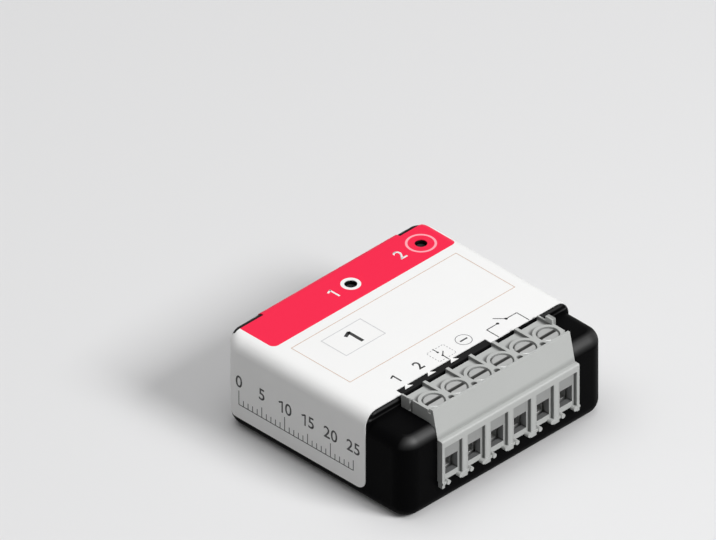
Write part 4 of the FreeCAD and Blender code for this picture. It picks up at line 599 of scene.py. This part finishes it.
def dressNode(name, spec):
    source = nodes[spec["nodes"][0]]
    bm = bmesh.new()
    bm.from_mesh(source.data)
    bm.transform(source.matrix_world)
    bmesh.ops.remove_doubles(bm, verts=bm.verts, dist=dressing["merge"] * millimetre)
    bmesh.ops.dissolve_degenerate(bm, edges=bm.edges, dist=dressing["sliver"] * millimetre)
    bmesh.ops.dissolve_limit(bm, angle_limit=math.radians(dressing["flatAngle"]), verts=bm.verts,
                             edges=bm.edges)
    for face in bm.faces:
        face.smooth = True
    for edge in bm.edges:
        edge.smooth = edge.calc_face_angle(0.0) < math.radians(dressing["sharpAngle"])
    mesh = bpy.data.meshes.new(name)
    bm.to_mesh(mesh)
    bm.free()
    piece = bpy.data.objects.new(name, mesh)
    bpy.context.collection.objects.link(piece)
    mesh.materials.append(materials[slotOf[spec["nodes"][0]]])
    soften = piece.modifiers.new("softEdges", "BEVEL")
    soften.width = spec["bevel"] * millimetre
    soften.segments = spec["segments"]
    soften.limit_method = "ANGLE"
    soften.angle_limit = math.radians(dressing["bevelAngle"])
    soften.harden_normals = True
    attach(piece, bodyOf[spec["nodes"][0]])
    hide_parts(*spec["nodes"])


for name, spec in dressed.items():
    dressNode(name, spec)
print("dressed pieces:", len(dressed))


# Print: thin ink, drawn flat in millimetres and laid on the label, the arrows on the cover

labelLow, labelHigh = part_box("wrap_label")
inkHeight = 0.015
inkMerge = 0.0005
topPlane = Matrix.Translation((0, 0, labelHigh[2]))
sidePlane = Matrix(((0, 0, -1, labelLow[0]), (-1, 0, 0, 0), (0, 1, 0, 0), (0, 0, 0, 1)))
deckPlane = Matrix.Translation((0, 0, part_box("top_cover")[1][2]))


def addStroke(bm, start, end, width):
    start, end = Vector((*start, 0)), Vector((*end, 0))
    along = end - start
    turn = Matrix.Rotation(math.atan2(along.y, along.x), 4, "Z")
    shape = Matrix.Translation((start + end) / 2) @ turn @ Matrix.Diagonal((along.length, width, 1, 1))
    bmesh.ops.create_grid(bm, x_segments=1, y_segments=1, size=0.5, matrix=shape)


def addPath(bm, points, width):
    for start, end in zip(points, points[1:]):
        addStroke(bm, start, end, width)


def addFrameLine(bm, left, right, low, high, width):
    half = width / 2
    addStroke(bm, (left - half, low), (right + half, low), width)
    addStroke(bm, (left - half, high), (right + half, high), width)
    addStroke(bm, (left, low + half), (left, high - half), width)
    addStroke(bm, (right, low + half), (right, high - half), width)


def addDot(bm, centre, radius):
    bmesh.ops.create_circle(bm, cap_ends=True, radius=radius, segments=24,
                            matrix=Matrix.Translation((*centre, 0)))


def addRing(bm, centre, radius, width):
    made = bmesh.ops.create_circle(bm, segments=64, radius=radius - width / 2,
                                   matrix=Matrix.Translation((*centre, 0)))
    rim = list({edge for corner in made["verts"] for edge in corner.link_edges})
    grown = bmesh.ops.extrude_edge_only(bm, edges=rim)
    outer = [item for item in grown["geom"] if isinstance(item, bmesh.types.BMVert)]
    widen = (radius + width / 2) / (radius - width / 2)
    bmesh.ops.scale(bm, vec=(widen, widen, 1), space=Matrix.Translation((-centre[0], -centre[1], 0)),
                    verts=outer)


def addTriangle(bm, centre, base, rise):
    bmesh.ops.create_circle(bm, cap_ends=True, radius=1.0, segments=3,
                            matrix=Matrix.Translation((*centre, 0))
                            @ Matrix.Diagonal((base / math.sqrt(3), rise / 1.5, 1, 1)))


# Shares of a numeral's height
numeral = {"capHeight": 0.7, "advance": 0.75, "stroke": 0.13, "oneShift": 0.12, "flagReach": 0.36,
           "flagDrop": 0.2, "flagOver": 0.04, "flagTop": 0.03}


def addOne(bm, centre, height, width):  # the font's own one is a plain bar
    right = centre[0] + numeral["oneShift"] * height
    top = centre[1] + height / 2
    addStroke(bm, (right, centre[1] - height / 2), (right, top), width)
    addStroke(bm, (right - numeral["flagReach"] * height, top - numeral["flagDrop"] * height),
              (right + numeral["flagOver"] * height, top - numeral["flagTop"] * height), width)


def addDigit(bm, digit, centre, height, heavy):
    curve = bpy.data.curves.new("numeral", "FONT")
    curve.body = digit
    curve.align_x = "CENTER"
    curve.align_y = "CENTER"
    curve.size = height / numeral["capHeight"]
    curve.offset = heavy
    holder = bpy.data.objects.new("numeral", curve)
    bpy.context.collection.objects.link(holder)
    bpy.context.view_layer.update()
    mesh = bpy.data.meshes.new_from_object(holder.evaluated_get(bpy.context.evaluated_depsgraph_get()))
    mesh.transform(Matrix.Translation((*centre, 0)))
    bm.from_mesh(mesh)
    bpy.data.objects.remove(holder)
    bpy.data.curves.remove(curve)
    bpy.data.meshes.remove(mesh)


def addNumber(bm, text, centre, height, heavy):
    for index, digit in enumerate(text):
        spot = (centre[0] + (index - (len(text) - 1) / 2) * numeral["advance"] * height, centre[1])
        if digit == "1":
            addOne(bm, spot, height, numeral["stroke"] * height + heavy)
        else:
            addDigit(bm, digit, spot, height, heavy)


def layInk(name, bm, plane, ink, thickness):
    bmesh.ops.remove_doubles(bm, verts=bm.verts, dist=inkMerge)
    made = bmesh.ops.extrude_face_region(bm, geom=bm.faces[:])
    lifted = [item for item in made["geom"] if isinstance(item, bmesh.types.BMVert)]
    bmesh.ops.translate(bm, verts=lifted, vec=(0, 0, thickness))
    bmesh.ops.recalc_face_normals(bm, faces=bm.faces)
    bmesh.ops.transform(bm, matrix=plane @ Matrix.Scale(millimetre, 4), verts=bm.verts)
    mesh = bpy.data.meshes.new(name)
    bm.to_mesh(mesh)
    bm.free()
    mesh.materials.append(ink)
    piece = bpy.data.objects.new(name, mesh)
    bpy.context.collection.objects.link(piece)
    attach(piece, "module")


firstPole = -12.5
polePitch = 5.0
symbolLine = 0.17
frameMark = {"box": (-17.6, 18.4, -3.45, 9.4), "line": 0.13}


def drawFrame(bm):
    addFrameLine(bm, *frameMark["box"], frameMark["line"])


numberBox = {"box": (-13.0, -4.5, 1.95, 7.45), "line": 0.18}


def drawNumberBox(bm):
    addFrameLine(bm, *numberBox["box"], numberBox["line"])


boxNumber = {"text": "1", "place": (-8.75, 4.62), "height": 3.3, "heavy": 0.19}


def drawBoxNumber(bm):
    addNumber(bm, boxNumber["text"], boxNumber["place"], boxNumber["height"], boxNumber["heavy"])


poleNumbers = {"count": 2, "shift": 0.5, "row": -7.85, "height": 2.0, "heavy": 0.03}


def drawPoleNumbers(bm):
    for index in range(poleNumbers["count"]):
        place = firstPole + poleNumbers["shift"] + index * polePitch
        addNumber(bm, str(index + 1), (place, poleNumbers["row"]), poleNumbers["height"],
                  poleNumbers["heavy"])


dashedBox = {"box": (-3.95, -0.3, -9.4, -6.45), "dash": 0.3, "line": 0.09}


def drawDashedBox(bm):
    left, right, low, high = dashedBox["box"]
    for start, end in (((left, low), (right, low)), ((left, high), (right, high)),
                       ((left, low), (left, high)), ((right, low), (right, high))):
        first, last = Vector(start), Vector(end)
        count = round((last - first).length / (2 * dashedBox["dash"]))
        for step in range(count):
            middle = first.lerp(last, (step + 0.5) / count)
            half = (last - first).normalized() * dashedBox["dash"] / 2
            addStroke(bm, middle - half, middle + half, dashedBox["line"])


switchMark = {"x": -2.4, "top": -6.25, "upper": -7.4, "lower": -8.5, "bottom": -9.95, "blade": (0.87, 0.8),
              "dot": 0.2}


def drawSwitch(bm):
    middle, upper, lower = switchMark["x"], switchMark["upper"], switchMark["lower"]
    reach, rise = switchMark["blade"]
    addStroke(bm, (middle, switchMark["top"]), (middle, upper), symbolLine)
    addStroke(bm, (middle, lower), (middle, switchMark["bottom"]), symbolLine)
    addStroke(bm, (middle, lower), (middle + reach, lower + rise), symbolLine)
    for level in (upper, lower):
        addDot(bm, (middle, level), switchMark["dot"])


ringMark = {"centre": (2.85, -7.83), "radius": 1.33, "line": 0.12, "barHalf": 0.78, "barLine": 0.3}


def drawRing(bm):
    addRing(bm, ringMark["centre"], ringMark["radius"], ringMark["line"])


def drawRingBar(bm):
    across, level = ringMark["centre"]
    addStroke(bm, (across - ringMark["barHalf"], level), (across + ringMark["barHalf"], level),
              ringMark["barLine"])


contactMark = {"across": (7.2, 9.6, 11.45, 13.75), "row": -8.5, "edgeGap": 0.1, "blade": (-1.45, 1.5),
               "dot": 0.26}


def drawContacts(bm):
    edge = labelLow[1] / millimetre + contactMark["edgeGap"]
    outLeft, inLeft, inRight, outRight = contactMark["across"]
    level = contactMark["row"]
    reach, rise = contactMark["blade"]
    addPath(bm, ((outLeft, edge), (outLeft, level), (inLeft, level)), symbolLine)
    addPath(bm, ((inRight, level), (outRight, level), (outRight, edge)), symbolLine)
    addStroke(bm, (inRight, level), (inRight + reach, level + rise), symbolLine)
    for x in (inLeft, inRight):
        addDot(bm, (x, level), contactMark["dot"])


poleArrows = {"count": 3, "shift": 0.55, "row": -10.41, "base": 1.75, "rise": 0.93}


def drawArrows(bm):
    for index in range(poleArrows["count"]):
        place = firstPole + poleArrows["shift"] + index * polePitch
        addTriangle(bm, (place, poleArrows["row"]), poleArrows["base"], poleArrows["rise"])


bandNumbers = {"places": (("1", -2.7), ("2", 11.9)), "row": 15.1, "height": 2.2, "heavy": 0.04}


def drawBandNumbers(bm):
    for number, place in bandNumbers["places"]:
        addNumber(bm, number, (place, bandNumbers["row"]), bandNumbers["height"], bandNumbers["heavy"])


sideScale = {"from": 16.3, "length": 25, "baseline": 5.0, "short": 1.1, "middle": 1.9, "long": 2.6,
             "line": 0.16, "inkHeight": 0.006, "row": 9.2, "height": 2.1, "heavy": 0.03}


def drawSideScale(bm):  # plain millimetre scale along the side, for stripping wires
    scale = sideScale
    start, baseline = -scale["from"], scale["baseline"]
    addStroke(bm, (start, baseline), (start + scale["length"], baseline), scale["line"])
    for step in range(scale["length"] + 1):
        size = "long" if step % 10 == 0 else "middle" if step % 5 == 0 else "short"
        addStroke(bm, (start + step, baseline), (start + step, baseline + scale[size]), scale["line"])
        if step % 5 == 0:
            addNumber(bm, str(step), (start + step, scale["row"]), scale["height"], scale["heavy"])


prints = (("frameLine", drawFrame, topPlane, frameInk, inkHeight),
          ("numberBox", drawNumberBox, topPlane, paleInk, inkHeight),
          ("boxNumber", drawBoxNumber, topPlane, markInk, inkHeight),
          ("poleNumbers", drawPoleNumbers, topPlane, markInk, inkHeight),
          ("dashedBox", drawDashedBox, topPlane, greyInk, inkHeight),
          ("switchMark", drawSwitch, topPlane, markInk, inkHeight),
          ("ringMark", drawRing, topPlane, greyInk, inkHeight),
          ("ringBar", drawRingBar, topPlane, markInk, inkHeight),
          ("contactMark", drawContacts, topPlane, markInk, inkHeight),
          ("poleArrows", drawArrows, deckPlane, whiteInk, inkHeight),
          ("bandNumbers", drawBandNumbers, topPlane, whiteInk, inkHeight),
          ("sideScale", drawSideScale, sidePlane, markInk, sideScale["inkHeight"]))
for name, draw, plane, ink, thickness in prints:
    flat = bmesh.new()
    draw(flat)
    layInk(name, flat, plane, ink, thickness)
print("label print laid")


# Floor, studio light and camera, in metres

studio = {
    "floorHalf": 1.5, "floorPale": (0.75, 0.75, 0.755), "floorBounce": (0.4, 0.4, 0.4),
    "floorRoughness": 0.9, "floorSpecular": 0.1, "worldLight": 0.25, "worldSeen": 0.76, "aim": (0, 0, 0.008),
    "lamps": (
        {"name": "frontSoftbox", "place": (0.2, -0.74, 0.62), "side": 0.35, "energy": 7.6, "onMatt": True},
        {"name": "topSoftbox", "place": (-0.1, 0.1, 0.9), "side": 0.9, "energy": 3.7, "onMatt": True},
        {"name": "reflectedPanel", "place": (0.14, -0.76, 0.62), "side": 0.5, "energy": 10.0,
         "onMatt": False})}


def seenRay(tree):  # rays that carry the background to the eye, straight or by way of metal and glass
    path = addNode(tree, "ShaderNodeLightPath").outputs
    return largest(tree, path["Is Camera Ray"], path["Is Glossy Ray"], path["Is Transmission Ray"])


def makeFloor():
    bm = bmesh.new()
    bmesh.ops.create_grid(bm, x_segments=1, y_segments=1, size=studio["floorHalf"])
    mesh = bpy.data.meshes.new("studioFloor")
    bm.to_mesh(mesh)
    bm.free()
    floor = bpy.data.objects.new("studioFloor", mesh)
    bpy.context.collection.objects.link(floor)
    material = bpy.data.materials.new("paleFloor")
    material.use_nodes = True
    tree = material.node_tree
    shader = tree.nodes["Principled BSDF"].inputs
    tree.links.new(mixColour(tree, seenRay(tree), studio["floorBounce"], studio["floorPale"]),
                   shader["Base Color"])
    shader["Roughness"].default_value = studio["floorRoughness"]
    shader["Specular IOR Level"].default_value = studio["floorSpecular"]
    mesh.materials.append(material)


def addLamp(spec):
    lamp = bpy.data.lights.new(spec["name"], "AREA")
    lamp.shape = "RECTANGLE"
    lamp.size = lamp.size_y = spec["side"]
    lamp.energy = spec["energy"]
    holder = bpy.data.objects.new(spec["name"], lamp)
    holder.location = spec["place"]
    toPart = Vector(studio["aim"]) - Vector(spec["place"])
    holder.rotation_euler = toPart.to_track_quat("-Z", "Y").to_euler()
    holder.visible_diffuse = spec["onMatt"]
    bpy.context.collection.objects.link(holder)


def lightWorld():
    world = bpy.context.scene.world or bpy.data.worlds.new("studioWorld")
    bpy.context.scene.world = world
    world.use_nodes = True
    tree = world.node_tree
    sky = tree.nodes["Background"]
    sky.inputs["Color"].default_value = (1, 1, 1, 1)
    extra = studio["worldSeen"] - studio["worldLight"]
    tree.links.new(mathNode(tree, "MULTIPLY_ADD", seenRay(tree), extra, studio["worldLight"]),
                   sky.inputs["Strength"])


view = {"corner": (-0.022, -0.020, 0), "rightShift": -0.007368, "upShift": 0.0396, "distance": 0.4,
        "width": 0.11066, "clip": (0.01, 5.0)}


def addCamera():  # parallel projection along the diagonal of a cube
    right = Vector((1, -1, 0)).normalized()
    up = Vector((1, 1, 2)).normalized()
    back = Vector((-1, -1, 1)).normalized()
    target = Vector(view["corner"]) + right * view["rightShift"] + up * view["upShift"]
    camera = bpy.data.cameras.new("isometric")
    camera.type = "ORTHO"
    camera.ortho_scale = view["width"]
    camera.clip_start, camera.clip_end = view["clip"]
    holder = bpy.data.objects.new("isometric", camera)
    turn = Matrix((right, up, back)).transposed().to_4x4()
    holder.matrix_world = Matrix.Translation(target + back * view["distance"]) @ turn
    bpy.context.collection.objects.link(holder)
    bpy.context.scene.camera = holder


makeFloor()
lightWorld()
for lamp in studio["lamps"]:
    addLamp(lamp)
addCamera()
bpy.context.scene.view_settings.view_transform = "Standard"
print("stage set")
